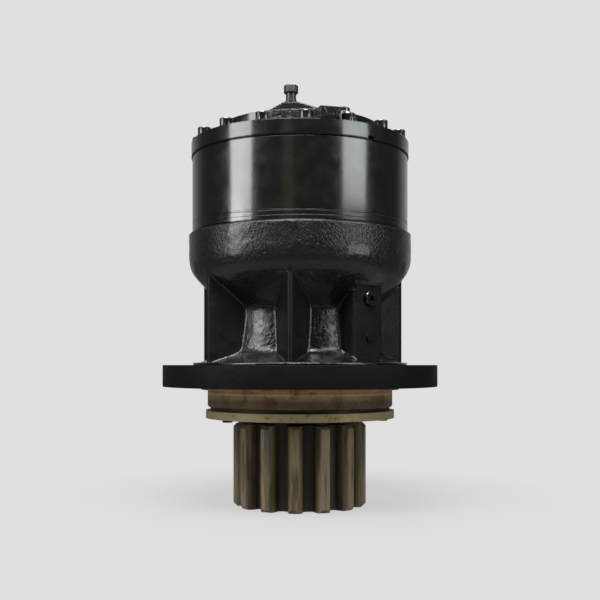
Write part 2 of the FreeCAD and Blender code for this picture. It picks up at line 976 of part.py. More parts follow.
def carrier_two():
    """Cage carrier of the output stage: hub, lower plate, three posts and upper plate."""
    body = new_body("carrier_two")
    corners = [
        (size.shaft_spline + size.fit_play, level.carrier_two_hub_bottom),
        (size.carrier_two_hub_radius, level.carrier_two_hub_bottom),
        (size.carrier_two_hub_radius, level.carrier_two_bottom),
        (size.carrier_two_radius, level.carrier_two_bottom),
        (size.carrier_two_radius, level.washer_two_bottom),
        (size.carrier_two_recess_radius, level.washer_two_bottom),
        (size.carrier_two_recess_radius, level.hub_top),
        (size.shaft_spline + size.fit_play, level.hub_top),
    ]
    turned(body, "carrier_two_turning", corners)
    outline = block_outline(
        size.carrier_post_inner,
        size.carrier_post_outer,
        size.carrier_post_inner_width,
        size.carrier_post_outer_width,
        90 + 180 / size.planet_count,
    )
    height = level.carrier_two_top - level.washer_two_bottom
    post = raised(body, "carrier_post", level.washer_two_bottom, height, outline)
    repeated(body, post, size.planet_count)
    ring = new_sketch(body, "carrier_two_roof_outline", "XY_Plane", level.carrier_two_roof)
    draw_circle(ring, (as_term(0), as_term(0)), size.carrier_two_top_radius)
    draw_circle(ring, (as_term(0), as_term(0)), size.carrier_two_eye_radius)
    roof = body.newObject("PartDesign::Pad", "carrier_two_roof")
    roof.Profile = ring
    roof.setExpression("Length", size.carrier_two_top_plate.text)
    depth = level.carrier_two_top - level.carrier_two_bottom
    add_pin_holes(body, "carrier_two_pin_hole", level.carrier_two_top, depth)
    return body


def carrier_one():
    """Plate carrier of the input stage."""
    body = new_body("carrier_one")
    corners = [
        (size.carrier_one_bore_radius + size.fit_play, level.carrier_one_bottom),
        (size.carrier_one_radius, level.carrier_one_bottom),
        (size.carrier_one_radius, level.carrier_one_top),
        (size.carrier_one_bore_radius + size.fit_play, level.carrier_one_top),
    ]
    turned(body, "carrier_one_turning", corners)
    add_pin_holes(body, "carrier_one_pin_hole", level.carrier_one_top, size.carrier_one_plate)
    return body


def carrier_two_pins():
    """Planet pins of the output stage, through both plates."""
    radius = pin_radius()
    corners = [
        (as_term(0), level.carrier_two_bottom),
        (radius, level.carrier_two_bottom),
        (radius, level.carrier_two_top),
        (as_term(0), level.carrier_two_top),
    ]
    return on_pin_circle("carrier_two_pins", turned_piece("carrier_two_pin_master", corners))


def circlip_level():
    """Underside of the circlips that keep the input stage's planets on their pins."""
    return level.stage_one_top + size.washer_thickness + size.washer_play


def carrier_one_pins():
    """Planet pins of the input stage, each with a groove for its circlip."""
    radius = pin_radius()
    neck = radius - size.circlip_depth
    low = circlip_level()
    high = low + size.circlip_thickness
    corners = [
        (as_term(0), level.carrier_one_bottom),
        (radius, level.carrier_one_bottom),
        (radius, low),
        (neck, low),
        (neck, high),
        (radius, high),
        (radius, high + size.circlip_thickness),
        (as_term(0), high + size.circlip_thickness),
    ]
    return on_pin_circle("carrier_one_pins", turned_piece("carrier_one_pin_master", corners))


def stage_washers():
    """Thrust washers under and over the planets of both stages, and the circlips."""
    bore = pin_radius() + size.fit_play
    thick = size.washer_thickness
    two = washer_rings(
        "planet_two_washers",
        bore,
        size.washer_radius,
        (
            (level.washer_two_bottom, thick),
            (level.stage_two_top + size.washer_play, thick),
        ),
    )
    one = washer_rings(
        "planet_one_washers",
        bore,
        size.washer_radius,
        (
            (level.carrier_one_top, thick),
            (level.stage_one_top + size.washer_play, thick),
        ),
    )
    neck = pin_radius() - size.circlip_depth + size.fit_play
    clips = washer_rings(
        "planet_one_circlips",
        neck,
        size.circlip_radius,
        ((circlip_level(), size.circlip_thickness),),
    )
    return [two, one, clips]


def sun_two():
    """Second sun gear, whose plain end sits in the stage one carrier."""
    teeth = stage_teeth(size.sun_teeth)
    tip = size.stage_module * (size.sun_teeth / 2 + 1)
    gear_top = level.stage_two_top
    corners = [
        (as_term(0), size.sun_two_bottom),
        (tip, size.sun_two_bottom),
        (tip, gear_top),
        (size.carrier_one_bore_radius, gear_top),
        (size.carrier_one_bore_radius, level.carrier_one_top),
        (as_term(0), level.carrier_one_top),
    ]
    blank = turned_piece("sun_two_blank", corners)
    return toothed("sun_two", blank, teeth, size.sun_two_bottom, gear_top, 0.0)


def sun_one():
    """Input sun gear with the splined bore that takes the motor shaft."""
    teeth = stage_teeth(size.sun_teeth)
    tip = size.stage_module * (size.sun_teeth / 2 + 1)
    hub_bottom = level.stage_one_top
    spline_bottom = size.sun_one_top - size.input_spline_length
    corners = [
        (as_term(0), size.stage_one_bottom),
        (tip, size.stage_one_bottom),
        (tip, hub_bottom),
        (size.sun_one_hub_radius, hub_bottom),
        (size.sun_one_hub_radius, size.sun_one_top),
        (size.input_bore_radius, size.sun_one_top),
        (size.input_bore_radius, spline_bottom),
        (as_term(0), spline_bottom),
    ]
    blank = turned_piece("sun_one_blank", corners)
    gear = toothed("sun_one_gear", blank, teeth, size.stage_one_bottom, hub_bottom, 0.0)
    inner = float(size.input_bore_radius - size.cut_overrun)
    outer = float(size.input_bore_radius + size.input_spline_depth)
    half = math.pi * float(size.input_bore_radius) / float(size.input_spline_count) / 2
    slot = [(inner, -half), (outer, -half), (outer, half), (inner, half)]
    bottom = float(spline_bottom)
    cutter = prism(slot, bottom, float(size.sun_one_top) - bottom)
    splines = shaped("input_spline_slots", round_copies(cutter, size.input_spline_count))
    return cut_from("sun_one", gear, splines)


def thrust_pieces():
    """Button under the second sun gear and washer under the first."""
    button_top = size.sun_two_bottom - size.washer_play
    shaft_top = level.hub_top + size.shaft_top_above_hub
    button = turned_piece(
        "thrust_button",
        [
            (as_term(0), shaft_top),
            (size.thrust_button_radius, shaft_top),
            (size.thrust_button_radius, button_top),
            (as_term(0), button_top),
        ],
    )
    washer_top = size.stage_one_bottom - size.washer_play
    washer = turned_piece(
        "sun_thrust_washer",
        [
            (as_term(0), level.carrier_one_top),
            (size.thrust_washer_radius, level.carrier_one_top),
            (size.thrust_washer_radius, washer_top),
            (as_term(0), washer_top),
        ],
    )
    return [button, washer]


def top_cover():
    """Cast cover: machined rim, raised boss with the motor pilot, lug, ramp and pry slots."""
    body = new_body("top_cover")
    register_bottom = level.ring_top - size.ring_register_length
    roof = level.cover_top - size.cover_roof
    pilot_bottom = level.cover_top - size.motor_pilot_depth
    corners = [
        (size.cover_cavity_radius, register_bottom),
        (size.cover_register_radius, register_bottom),
        (size.cover_register_radius, level.ring_top),
        (size.cover_radius, level.ring_top),
        (size.cover_radius, level.rim_top),
        (size.cover_boss_radius, level.rim_top),
        (size.cover_boss_top_radius, level.cover_top),
        (size.motor_pilot_radius, level.cover_top),
        (size.motor_pilot_radius, pilot_bottom),
        (size.motor_bore_radius, pilot_bottom),
        (size.motor_bore_radius, roof),
        (size.cover_cavity_radius, roof),
    ]
    turned(body, "cover_turning", corners)
    lug = block_outline(
        size.lug_inner_radius, size.cover_radius, size.lug_width, size.lug_width, size.lug_angle
    )
    raised(body, "cover_lug", level.rim_top, size.lug_height, lug)
    foot = ramp_outline(size.ramp_left_run, size.ramp_right_run)
    crest = ramp_outline(size.ramp_crest, size.ramp_crest)
    lofted(body, "cover_ramp", (level.cover_top, level.ramp_top), (foot, crest))
    add_cover_holes(body)
    return body


def ramp_outline(left, right):
    """Four corners of the cover's ramp at one height, seen from above."""
    return [
        polar(size.ramp_inner_radius, -left, size.ramp_angle),
        polar(size.ramp_outer_radius, -left, size.ramp_angle),
        polar(size.ramp_outer_radius, right, size.ramp_angle),
        polar(size.ramp_inner_radius, right, size.ramp_angle),
    ]


def add_cover_holes(body):
    """Screw holes, motor holes, ports and pry slots of the cover."""
    spot = polar(size.cover_screw_circle, 0, size.cover_screw_angle)
    fit = size.screw_radius + size.screw_clearance
    hole = drilled(body, "cover_screw_hole", level.rim_top, size.cover_rim_height, spot, fit)
    repeated(body, hole, size.cover_screw_count)
    spot = polar(size.motor_stud_circle, 0, size.motor_stud_angle)
    hole = drilled(
        body,
        "motor_stud_hole",
        level.cover_top,
        size.motor_stud_depth,
        spot,
        size.motor_stud_radius,
    )
    repeated(body, hole, size.motor_stud_count)
    spot = polar(size.breather_circle, 0, size.breather_angle)
    drilled(body, "breather_hole", level.ramp_top, size.stem_thread_length, spot, size.stem_radius)
    depth = size.ramp_height + size.cover_roof
    drilled(body, "breather_vent", level.ramp_top, depth, spot, size.vent_radius)
    spot = polar(size.filler_circle, 0, size.filler_angle)
    depth = size.filler_thread_length
    drilled(body, "filler_hole", level.cover_top, depth, spot, size.filler_thread_radius)
    slot = block_outline(
        size.cover_radius - size.pry_depth,
        size.cover_radius + size.pry_depth,
        size.pry_width,
        size.pry_width,
        size.pry_angle,
    )
    top = level.ring_top + size.pry_height
    pry = sunk(body, "pry_slot", top, size.pry_height, slot)
    repeated(body, pry, size.pry_count)


def socket_screw(name, radius, length, head_radius, head_height, hex_radius, hex_depth, chamfer):
    """Socket head screw, its head standing on level 0."""
    body = new_body(name)
    corners = [
        (as_term(0), -length),
        (radius, -length),
        (radius, as_term(0)),
        (head_radius, as_term(0)),
        (head_radius, head_height - chamfer),
        (head_radius - chamfer, head_height),
        (as_term(0), head_height),
    ]
    turned(body, f"{name}_turning", corners)
    sunk(body, f"{name}_hex", head_height, hex_depth, hexagon(hex_radius))
    return body


def cover_screws():
    """Ring of long screws through the cover and the ring gear into the housing."""
    length = size.cover_rim_height + size.ring_length + size.screw_thread_depth
    master = socket_screw(
        "cover_screw_master",
        size.screw_radius,
        length,
        size.screw_head_radius,
        size.screw_head_height,
        size.screw_hex_radius,
        size.screw_hex_depth,
        size.screw_chamfer,
    )
    return copies_round(
        "cover_screws",
        master,
        size.cover_screw_circle,
        level.rim_top,
        size.cover_screw_count,
        size.cover_screw_angle,
    )


def dowel_pins():
    """Two dowels between the ring gear and the housing."""
    half = size.dowel_reach - size.screw_clearance
    corners = [
        (as_term(0), -half),
        (size.dowel_radius, -half),
        (size.dowel_radius, half),
        (as_term(0), half),
    ]
    master = turned_piece("dowel_master", corners)
    return copies_round(
        "dowel_pins",
        master,
        size.cover_screw_circle,
        level.housing_top,
        size.dowel_count,
        size.dowel_angle,
    )


def stood_at(name, master, circle, base, from_front):
    """One copy of a master, upright on a circle."""
    doc.recompute()
    x_place, y_place = polar(circle, 0, from_front)
    copy = master.Shape.copy()
    copy.translate(Vector(float(x_place), float(y_place), float(base)))
    return shaped(name, copy)


def breather():
    """Breather on the cover's ramp: bored, threaded stem and knurled cap."""
    recess = size.stem_height + size.cap_recess
    stem = turned_piece(
        "breather_stem_master",
        [
            (size.vent_radius, -size.stem_thread_length + size.screw_clearance),
            (size.stem_radius, -size.stem_thread_length + size.screw_clearance),
            (size.stem_radius, as_term(0)),
            (size.stem_flange_radius, as_term(0)),
            (size.stem_flange_radius, size.stem_flange_height),
            (size.stem_radius, size.stem_flange_height),
            (size.stem_radius, recess),
            (size.vent_radius, recess),
        ],
    )
    bore = size.stem_radius + size.cap_clearance
    top = size.stem_height + size.cap_height
    cap = new_body("breather_cap_master")
    turned(
        cap,
        "breather_cap_turning",
        [
            (bore, size.stem_height),
            (size.cap_radius, size.stem_height),
            (size.cap_radius, top - size.cap_rounding),
            (size.cap_radius - size.cap_rounding, top),
            (as_term(0), top),
            (as_term(0), recess),
            (bore, recess),
        ],
    )
    knurl = drilled(
        cap, "cap_knurl", top, size.cap_height, polar(size.cap_radius, 0, 0), size.cap_knurl_radius
    )
    repeated(cap, knurl, size.cap_knurl_count)
    place = (size.breather_circle, level.ramp_top, size.breather_angle)
    return [
        stood_at("breather_stem", stem, *place),
        stood_at("breather_cap", cap, *place),
    ]


def filler_plug():
    """Filler plug and its sealing washer on the cover boss."""
    washer = turned_piece(
        "filler_washer_master",
        [
            (size.filler_thread_radius, as_term(0)),
            (size.filler_washer_radius, as_term(0)),
            (size.filler_washer_radius, size.seal_washer_thickness),
            (size.filler_thread_radius, size.seal_washer_thickness),
        ],
    )
    plug = socket_screw(
        "filler_plug_master",
        size.filler_thread_radius,
        size.filler_thread_length,
        size.filler_head_radius,
        size.filler_head_height,
        size.filler_hex_radius,
        size.filler_hex_depth,
        size.screw_chamfer,
    )
    ring = (size.filler_circle, level.cover_top, size.filler_angle)
    lifted = (size.filler_circle, level.cover_top + size.seal_washer_thickness, size.filler_angle)
    return [
        stood_at("filler_washer", washer, *ring),
        stood_at("filler_plug", plug, *lifted),
    ]


def port_plugs():
    """Drain plug and grease plug in the port boss, pointing outwards."""
    drain = socket_screw(
        "drain_plug",
        size.drain_thread_radius,
        size.drain_thread_length,
        size.drain_head_radius,
        size.drain_head_height,
        size.drain_hex_radius,
        size.drain_hex_depth,
        size.screw_chamfer,
    )
    grease = turned_piece(
        "grease_plug",
        [
            (as_term(0), -size.grease_thread_length),
            (size.grease_thread_radius, -size.grease_thread_length),
            (size.grease_thread_radius, as_term(0)),
            (size.grease_head_radius, as_term(0)),
            (size.grease_head_radius, size.grease_head_height),
            (as_term(0), size.grease_head_height),
        ],
    )
    for plug, height in ((drain, size.drain_level), (grease, size.grease_level)):
        x_place, y_place = polar(size.boss_face_radius, 0, size.boss_angle)
        plug.Placement = facing_outwards(size.boss_angle)
        plug.setExpression(".Placement.Base.x", x_place.text)
        plug.setExpression(".Placement.Base.y", y_place.text)
        plug.setExpression(".Placement.Base.z", height.text)
    return [drain, grease]


class TaperBearing:
    """A taper roller bearing; facing is +1 where the large roller ends point up."""

    def __init__(self, prefix, facing, bore):
        self.prefix = prefix
        self.facing = facing
        self.bore = bore
        short = prefix.split("_", maxsplit=1)[0]
        sizes = {
            key: getattr(size, f"{short}_{key}")
            for key in (
                "bearing_outer",
                "bearing_pitch",
                "cup_bottom",
                "cup_width",
                "cone_bottom",
                "cone_width",
                "roller_radius",
                "roller_length",
                "roller_count",
            )
        }
        self.sizes = sizes
        self.cup_low = sizes["cup_bottom"]
        self.cup_high = sizes["cup_bottom"] + sizes["cup_width"]
        self.cone_low = sizes["cone_bottom"]
        self.cone_high = sizes["cone_bottom"] + sizes["cone_width"]
        self.middle = (self.cup_low + self.cup_high) / 2

    def race(self, side, height):
        """Radius of the cup race (side +1) or the cone race (side -1) at a height."""
        slant = size.roller_tilt + side * size.roller_taper
        reach = self.sizes["roller_radius"] + size.roller_gap
        at_middle = self.sizes["bearing_pitch"] + side * reach / cosine(slant)
        return at_middle + self.facing * (height - self.middle) * tangent(slant)

    def cup(self):
        """Outer ring, pressed into the housing."""
        outer = self.sizes["bearing_outer"]
        corners = [
            (self.race(1, self.cup_low), self.cup_low),
            (outer, self.cup_low),
            (outer, self.cup_high),
            (self.race(1, self.cup_high), self.cup_high),
        ]
        return turned_piece(f"{self.prefix}_cup", corners)

    def cone(self):
        """Inner ring with its guiding rib at the large end."""
        if self.facing > 0:
            big, small, rib = self.cone_high, self.cone_low, self.cone_high - size.cone_rib
        else:
            big, small, rib = self.cone_low, self.cone_high, self.cone_low + size.cone_rib
        rib_radius = self.race(-1, rib) + size.cone_rib_height
        corners = [
            (self.bore + size.fit_play, small),
            (self.race(-1, small), small),
            (self.race(-1, rib), rib),
            (rib_radius, rib),
            (rib_radius, big),
            (self.bore + size.fit_play, big),
        ]
        return turned_piece(f"{self.prefix}_cone", corners)

    def roller(self, growth=0.0):
        """One taper roller in place on the XZ plane, optionally enlarged."""
        length = float(self.sizes["roller_length"]) + 2 * growth
        radius = float(self.sizes["roller_radius"]) + growth
        spread = length / 2 * math.tan(math.radians(float(size.roller_taper)))
        form = Part.makeCone(radius - spread, radius + spread, length, Vector(0, 0, -length / 2))
        if self.facing < 0:
            form.rotate(Vector(0, 0, 0), Vector(1, 0, 0), 180)
        form.rotate(Vector(0, 0, 0), Vector(0, 1, 0), self.facing * float(size.roller_tilt))
        form.translate(Vector(float(self.sizes["bearing_pitch"]), 0, float(self.middle)))
        return form

    def rollers(self):
        """The complement of rollers."""
        solids = round_copies(self.roller(), self.sizes["roller_count"])
        return shaped(f"{self.prefix}_rollers", solids)

    def cage(self):
        """Pressed cage: a thin conical band with a window for each roller."""
        half = float(self.sizes["roller_length"]) / 2 * math.cos(
            math.radians(float(size.roller_tilt))
        )
        reach = half + float(size.cage_overhang)
        lean = self.facing * math.tan(math.radians(float(size.roller_tilt)))
        pitch = float(self.sizes["bearing_pitch"])
        wall = float(size.cage_wall) / 2
        middle = float(self.middle)
        profile = [
            Vector(pitch - wall - reach * lean, 0, middle - reach),
            Vector(pitch + wall - reach * lean, 0, middle - reach),
            Vector(pitch + wall + reach * lean, 0, middle + reach),
            Vector(pitch - wall + reach * lean, 0, middle + reach),
        ]
        face = Part.Face(Part.makePolygon(profile + profile[:1]))
        band = face.revolve(Vector(0, 0, 0), Vector(0, 0, 1), 360)
        windows = round_copies(self.roller(float(size.cage_clearance)), self.sizes["roller_count"])
        return shaped(f"{self.prefix}_cage", band.cut(windows))

    def pieces(self):
        """Cup, cone, rollers and cage."""
        return [self.cup(), self.cone(), self.rollers(), self.cage()]


def lock_nut():
    """Slotted nut that clamps the upper bearing's inner ring."""
    body = new_body("lock_nut")
    bore = size.shaft_thread + size.fit_play
    corners = [
        (bore, level.high_cone_top),
        (size.nut_radius, level.high_cone_top),
        (size.nut_radius, level.nut_top),
        (bore, level.nut_top),
    ]
    turned(body, "nut_turning", corners)
    slot = block_outline(
        size.nut_radius - size.nut_slot_depth,
        size.nut_radius + size.nut_slot_depth,
        size.nut_slot_width,
        size.nut_slot_width,
        as_term(0),
    )
    cut = sunk(body, "nut_slot", level.nut_top, size.nut_height, slot)
    repeated(body, cut, size.nut_slot_count)
    return body


def shaft_ring():
    """Snap ring that keeps the carrier on the shaft."""
    inner = size.shaft_spline_root - size.shaft_ring_groove + size.fit_play
    bottom = level.hub_top
    corners = [
        (inner, bottom),
        (size.shaft_spline + size.shaft_ring_groove, bottom),
        (size.shaft_spline + size.shaft_ring_groove, bottom + size.shaft_ring_thickness),
        (inner, bottom + size.shaft_ring_thickness),
    ]
    return turned_piece("shaft_snap_ring", corners)


def shaft_blank():
    """Pinion and shaft turned in one, before the teeth and splines are cut."""
    tip = size.pinion_module * size.pinion_teeth / 2 + size.pinion_addendum
    chamfer = size.pinion_end_chamfer
    bottom = level.pinion_bottom
    top = size.pinion_top
    shaft_top = level.hub_top + size.shaft_top_above_hub
    groove = size.shaft_spline_root - size.shaft_ring_groove
    groove_top = level.hub_top + size.shaft_ring_thickness
    corners = [
        (as_term(0), bottom + size.pinion_centre_depth),
        (size.pinion_centre_radius, bottom + size.pinion_centre_depth),
        (size.pinion_centre_radius, bottom),
        (tip - chamfer, bottom),
        (tip, bottom + chamfer),
        (tip, top - chamfer),
        (tip - chamfer, top),
        (size.shaft_seat_low, top),
        (size.shaft_seat_low, level.low_cone_top),
        (size.shaft_waist, level.low_cone_top),
        (size.shaft_waist, size.high_cone_bottom),
        (size.shaft_seat_high, size.high_cone_bottom),
        (size.shaft_seat_high, level.high_cone_top),
        (size.shaft_thread, level.high_cone_top),
        (size.shaft_thread, level.carrier_two_hub_bottom),
        (size.shaft_spline, level.carrier_two_hub_bottom),
        (size.shaft_spline, level.hub_top),
        (groove, level.hub_top),
        (groove, groove_top),
        (size.shaft_spline, groove_top),
        (size.shaft_spline, shaft_top - size.shaft_end_chamfer),
        (size.shaft_spline - size.shaft_end_chamfer, shaft_top),
        (as_term(0), shaft_top),
    ]
    return turned_piece("pinion_shaft_blank", corners)


def pinion_space():
    """One tooth space of the output pinion: involute flanks and a rounded root."""
    teeth = Teeth(
        size.pinion_module,
        size.pinion_teeth,
        size.pinion_addendum,
        size.pinion_dedendum,
        size.pinion_backlash,
    )
    last = int(float(size.pinion_flank_points)) - 1
    radii = [teeth.base + (teeth.tip - teeth.base) * i / last for i in range(last + 1)]
    flank = []
    for radius in radii:
        angle = teeth.half_gap(radius)
        flank.append(Vector(radius * math.cos(angle), radius * math.sin(angle), 0))
    curve = Part.BSplineCurve()
    curve.interpolate(flank)
    mirrored = Part.BSplineCurve()
    mirrored.interpolate([Vector(p.x, -p.y, 0) for p in flank])
    low = flank[0]
    far = flank[-1]
    outside = teeth.tip + float(size.cut_overrun)
    root = Vector(teeth.root, 0, 0)
    bed = Vector(teeth.root + float(size.pinion_bed_rise), float(size.pinion_bed_across), 0)
    floor = Part.BSplineCurve()
    floor.interpolate([low, bed, root, Vector(bed.x, -bed.y, 0), Vector(low.x, -low.y, 0)])
    top = Vector(outside, far.y * outside / far.x, 0)
    edges = [
        floor.toShape(),
        mirrored.toShape(),
        Part.makeLine(Vector(far.x, -far.y, 0), Vector(top.x, -top.y, 0)),
        Part.makeLine(Vector(top.x, -top.y, 0), top),
        Part.makeLine(top, far),
        curve.toShape(),
    ]
    wire = Part.Wire(edges)
    start = float(level.pinion_bottom - size.cut_overrun)
    length = float(size.pinion_length + size.cut_overrun + size.cut_overrun)
    face = Part.Face(wire)
    face.translate(Vector(0, 0, start))
    return face.extrude(Vector(0, 0, length))


def pinion_shaft():
    """Output shaft with its pinion teeth and the spline that carries the carrier."""
    blank = shaft_blank()
    turn = float(size.pinion_angle) - 90.0 + 180.0 / float(size.pinion_teeth)
    spaces = shaped("pinion_spaces", round_copies(pinion_space(), size.pinion_teeth, turn))
    toothed_shaft = cut_from("pinion_shaft_toothed", blank, spaces)
    inner = float(size.shaft_spline_root)
    outer = float(size.shaft_spline + size.cut_overrun)
    half = math.pi * float(size.shaft_spline) / float(size.shaft_spline_count) / 2
    slot = [(inner, -half), (outer, -half), (outer, half), (inner, half)]
    bottom = float(level.carrier_two_hub_bottom)
    top = float(level.hub_top + size.shaft_top_above_hub)
    cutter = prism(slot, bottom, top - bottom)
    splines = shaped("shaft_spline_slots", round_copies(cutter, size.shaft_spline_count))
    return cut_from("pinion_shaft", toothed_shaft, splines)


def wear_sleeve():
    """Sleeve on the shaft that the seal runs on; it is the dark collar over the pinion."""
    bore = size.shaft_seat_low + size.fit_play
    corners = [
        (bore, size.pinion_top),
        (size.sleeve_radius, size.pinion_top),
        (size.sleeve_radius, size.low_cone_bottom),
        (bore, size.low_cone_bottom),
    ]
    return turned_piece("wear_sleeve", corners)


def shaft_seal():
    """Lip seal in the retainer plate: outer wall, web and a short lip."""
    top = level.plate_bottom + size.seal_height
    lip = size.sleeve_radius + size.seal_lip_gap
    web = top - size.seal_wall
    lip_bottom = web - size.seal_lip_height
    corners = [
        (size.plate_seal_bore - size.seal_wall, level.plate_bottom),
        (size.plate_seal_bore, level.plate_bottom),
        (size.plate_seal_bore, top),
        (lip + size.seal_wall, top),
        (lip, web),
        (lip, lip_bottom),
        (lip + size.seal_wall, lip_bottom),
        (lip + size.seal_wall, web),
        (size.plate_seal_bore - size.seal_wall, web),
    ]
    return turned_piece("shaft_seal", corners)


def plate_holes(body, name, top, depth, radius):
    """Ring of screw holes through the plate or the shim."""
    spot = polar(size.plate_screw_circle, 0, size.plate_screw_angle)
    hole = drilled(body, name, top, depth, spot, radius)
    repeated(body, hole, size.plate_screw_count)


def retainer_plate():
    """Plate under the spigot that carries the seal, with counterbored screw holes."""
    body = new_body("retainer_plate")
    bore = size.plate_seal_bore + size.fit_play
    corners = [
        (bore, level.plate_bottom),
        (size.plate_radius, level.plate_bottom),
        (size.plate_radius, level.shim_bottom),
        (bore, level.shim_bottom),
    ]
    turned(body, "plate_turning", corners)
    fit = size.plate_screw_radius + size.screw_clearance
    plate_holes(body, "plate_hole", level.shim_bottom, size.plate_thickness, fit)
    recess = size.plate_screw_head_radius + size.screw_clearance
    head_seat = level.plate_bottom + size.plate_counterbore
    plate_holes(body, "plate_counterbore_hole", head_seat, size.plate_counterbore, recess)
    return body


def shim_pack():
    """Shims between the spigot and the plate, which show as a dark gap."""
    body = new_body("shim_pack")
    corners = [
        (size.shim_bore, level.shim_bottom),
        (size.shim_radius, level.shim_bottom),
        (size.shim_radius, level.spigot_bottom),
        (size.shim_bore, level.spigot_bottom),
    ]
    turned(body, "shim_turning", corners)
    fit = size.plate_screw_radius + size.screw_clearance
    plate_holes(body, "shim_hole", level.spigot_bottom, size.shim_thickness, fit)
    return body


def plate_screws():
    """Screws that hold the retainer plate, heads down."""
    seat = level.plate_bottom + size.plate_counterbore
    length = level.spigot_bottom + size.plate_screw_reach - size.screw_clearance - seat
    master = socket_screw(
        "plate_screw_master",
        size.plate_screw_radius,
        length,
        size.plate_screw_head_radius,
        size.plate_screw_head_height,
        size.plate_screw_hex_radius,
        size.plate_screw_hex_depth,
        size.screw_chamfer,
    )
    doc.recompute()
    flipped = master.Shape.copy()
    flipped.rotate(Vector(0, 0, 0), Vector(1, 0, 0), 180)
    flipped.translate(Vector(float(size.plate_screw_circle), 0, float(seat)))
    solids = round_copies(
        flipped, size.plate_screw_count, float(size.plate_screw_angle) - 90.0
    )
    return shaped("plate_screws", solids)


def build_pieces():
    """Every piece of the gearbox, from the foot of the pinion to the breather."""
    pieces = [pinion_shaft(), wear_sleeve(), shaft_seal()]
    pieces += [retainer_plate(), plate_screws(), shim_pack()]
    pieces += TaperBearing("low_bearing", -1, size.shaft_seat_low).pieces()
    pieces += TaperBearing("high_bearing", 1, size.shaft_seat_high).pieces()
    pieces += [lock_nut(), shaft_ring(), gear_housing(), ring_gear(), dowel_pins()]
    pieces += [carrier_two(), carrier_two_pins()]
    pieces += planets("two", size.stage_two_bottom, size.stage_two_width)
    pieces += [carrier_one(), carrier_one_pins()]
    pieces += planets("one", size.stage_one_bottom, size.stage_one_width)
    pieces += stage_washers()
    pieces += [sun_two(), sun_one()]
    pieces += thrust_pieces()
    pieces += [top_cover(), cover_screws()]
    pieces += breather()
    pieces += filler_plug()
    pieces += port_plugs()
    return pieces


def check_and_write(pieces):
    """Stop on any failed object or bad shape, then write one file for each piece."""
    doc.recompute()
    failed = [
        item.Name for item in doc.Objects if {"Invalid", "Error"} & set(item.State)
    ]
    if failed:
        raise RuntimeError(f"failed objects: {failed}")
    for piece in pieces:
        if piece.Shape.isNull() or not piece.Shape.isValid():
            raise RuntimeError(f"bad shape: {piece.Label}")
    os.makedirs("parts", exist_ok=True)
    for piece in pieces:
        piece.Shape.exportStep(os.path.join("parts", f"{piece.Label}.step"))
        solids = len(piece.Shape.Solids)
        print(f"{piece.Label}: {solids} solid(s), {piece.Shape.Volume / 1000:.1f} cm3")


doc = FreeCAD.newDocument("swing_gearbox")
size = Sizes(doc, DRIVING_SIZES)
level = Levels()
check_and_write(build_pieces())
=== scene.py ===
"""Swing gearbox: finishes, cast skin, fasteners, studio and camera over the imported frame.

Metres, +Z up along the output axis, the front towards -Y, and the origin at the
centre of the mounting flange's underside. Angles are degrees from the front,
positive towards +X. Classes that build meshes keep their own sizes in
millimetres; finishes and the studio keep theirs in metres.
"""

import json
import logging
import math
from dataclasses import dataclass, field
from enum import Enum
from functools import cache
from typing import Any, Sequence

import bmesh
import bpy
import numpy as np
from mathutils import Matrix, Vector, noise


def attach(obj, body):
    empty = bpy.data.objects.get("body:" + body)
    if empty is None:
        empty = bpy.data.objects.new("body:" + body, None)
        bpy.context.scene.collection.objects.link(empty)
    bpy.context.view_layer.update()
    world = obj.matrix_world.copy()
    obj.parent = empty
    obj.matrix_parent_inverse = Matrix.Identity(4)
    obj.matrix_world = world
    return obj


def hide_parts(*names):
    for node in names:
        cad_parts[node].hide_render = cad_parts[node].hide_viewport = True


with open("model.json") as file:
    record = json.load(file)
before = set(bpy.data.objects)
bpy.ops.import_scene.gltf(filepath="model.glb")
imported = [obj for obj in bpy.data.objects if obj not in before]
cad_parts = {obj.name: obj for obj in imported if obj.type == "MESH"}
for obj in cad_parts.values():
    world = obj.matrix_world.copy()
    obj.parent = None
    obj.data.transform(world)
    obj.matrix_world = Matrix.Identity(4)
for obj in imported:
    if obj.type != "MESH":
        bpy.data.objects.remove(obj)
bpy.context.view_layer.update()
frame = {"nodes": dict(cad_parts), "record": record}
LOG = logging.getLogger("swing_gearbox")
MM = 0.001
WELD = 1e-7
OBJECT_SHARP = 35.0
MIDDLE_OF_NOISE = (0.3, 0.7)
Colour = tuple[float, float, float]
Pair = tuple[float, float]
Profile = Sequence[Pair]
Socket = bpy.types.NodeSocket
Tree = bpy.types.NodeTree
Piece = bpy.types.Object


def from_front(angle: float) -> Pair:
    """Unit direction (x, y) of an angle in degrees from the front."""
    turn = math.radians(angle)
    return math.sin(turn), -math.cos(turn)


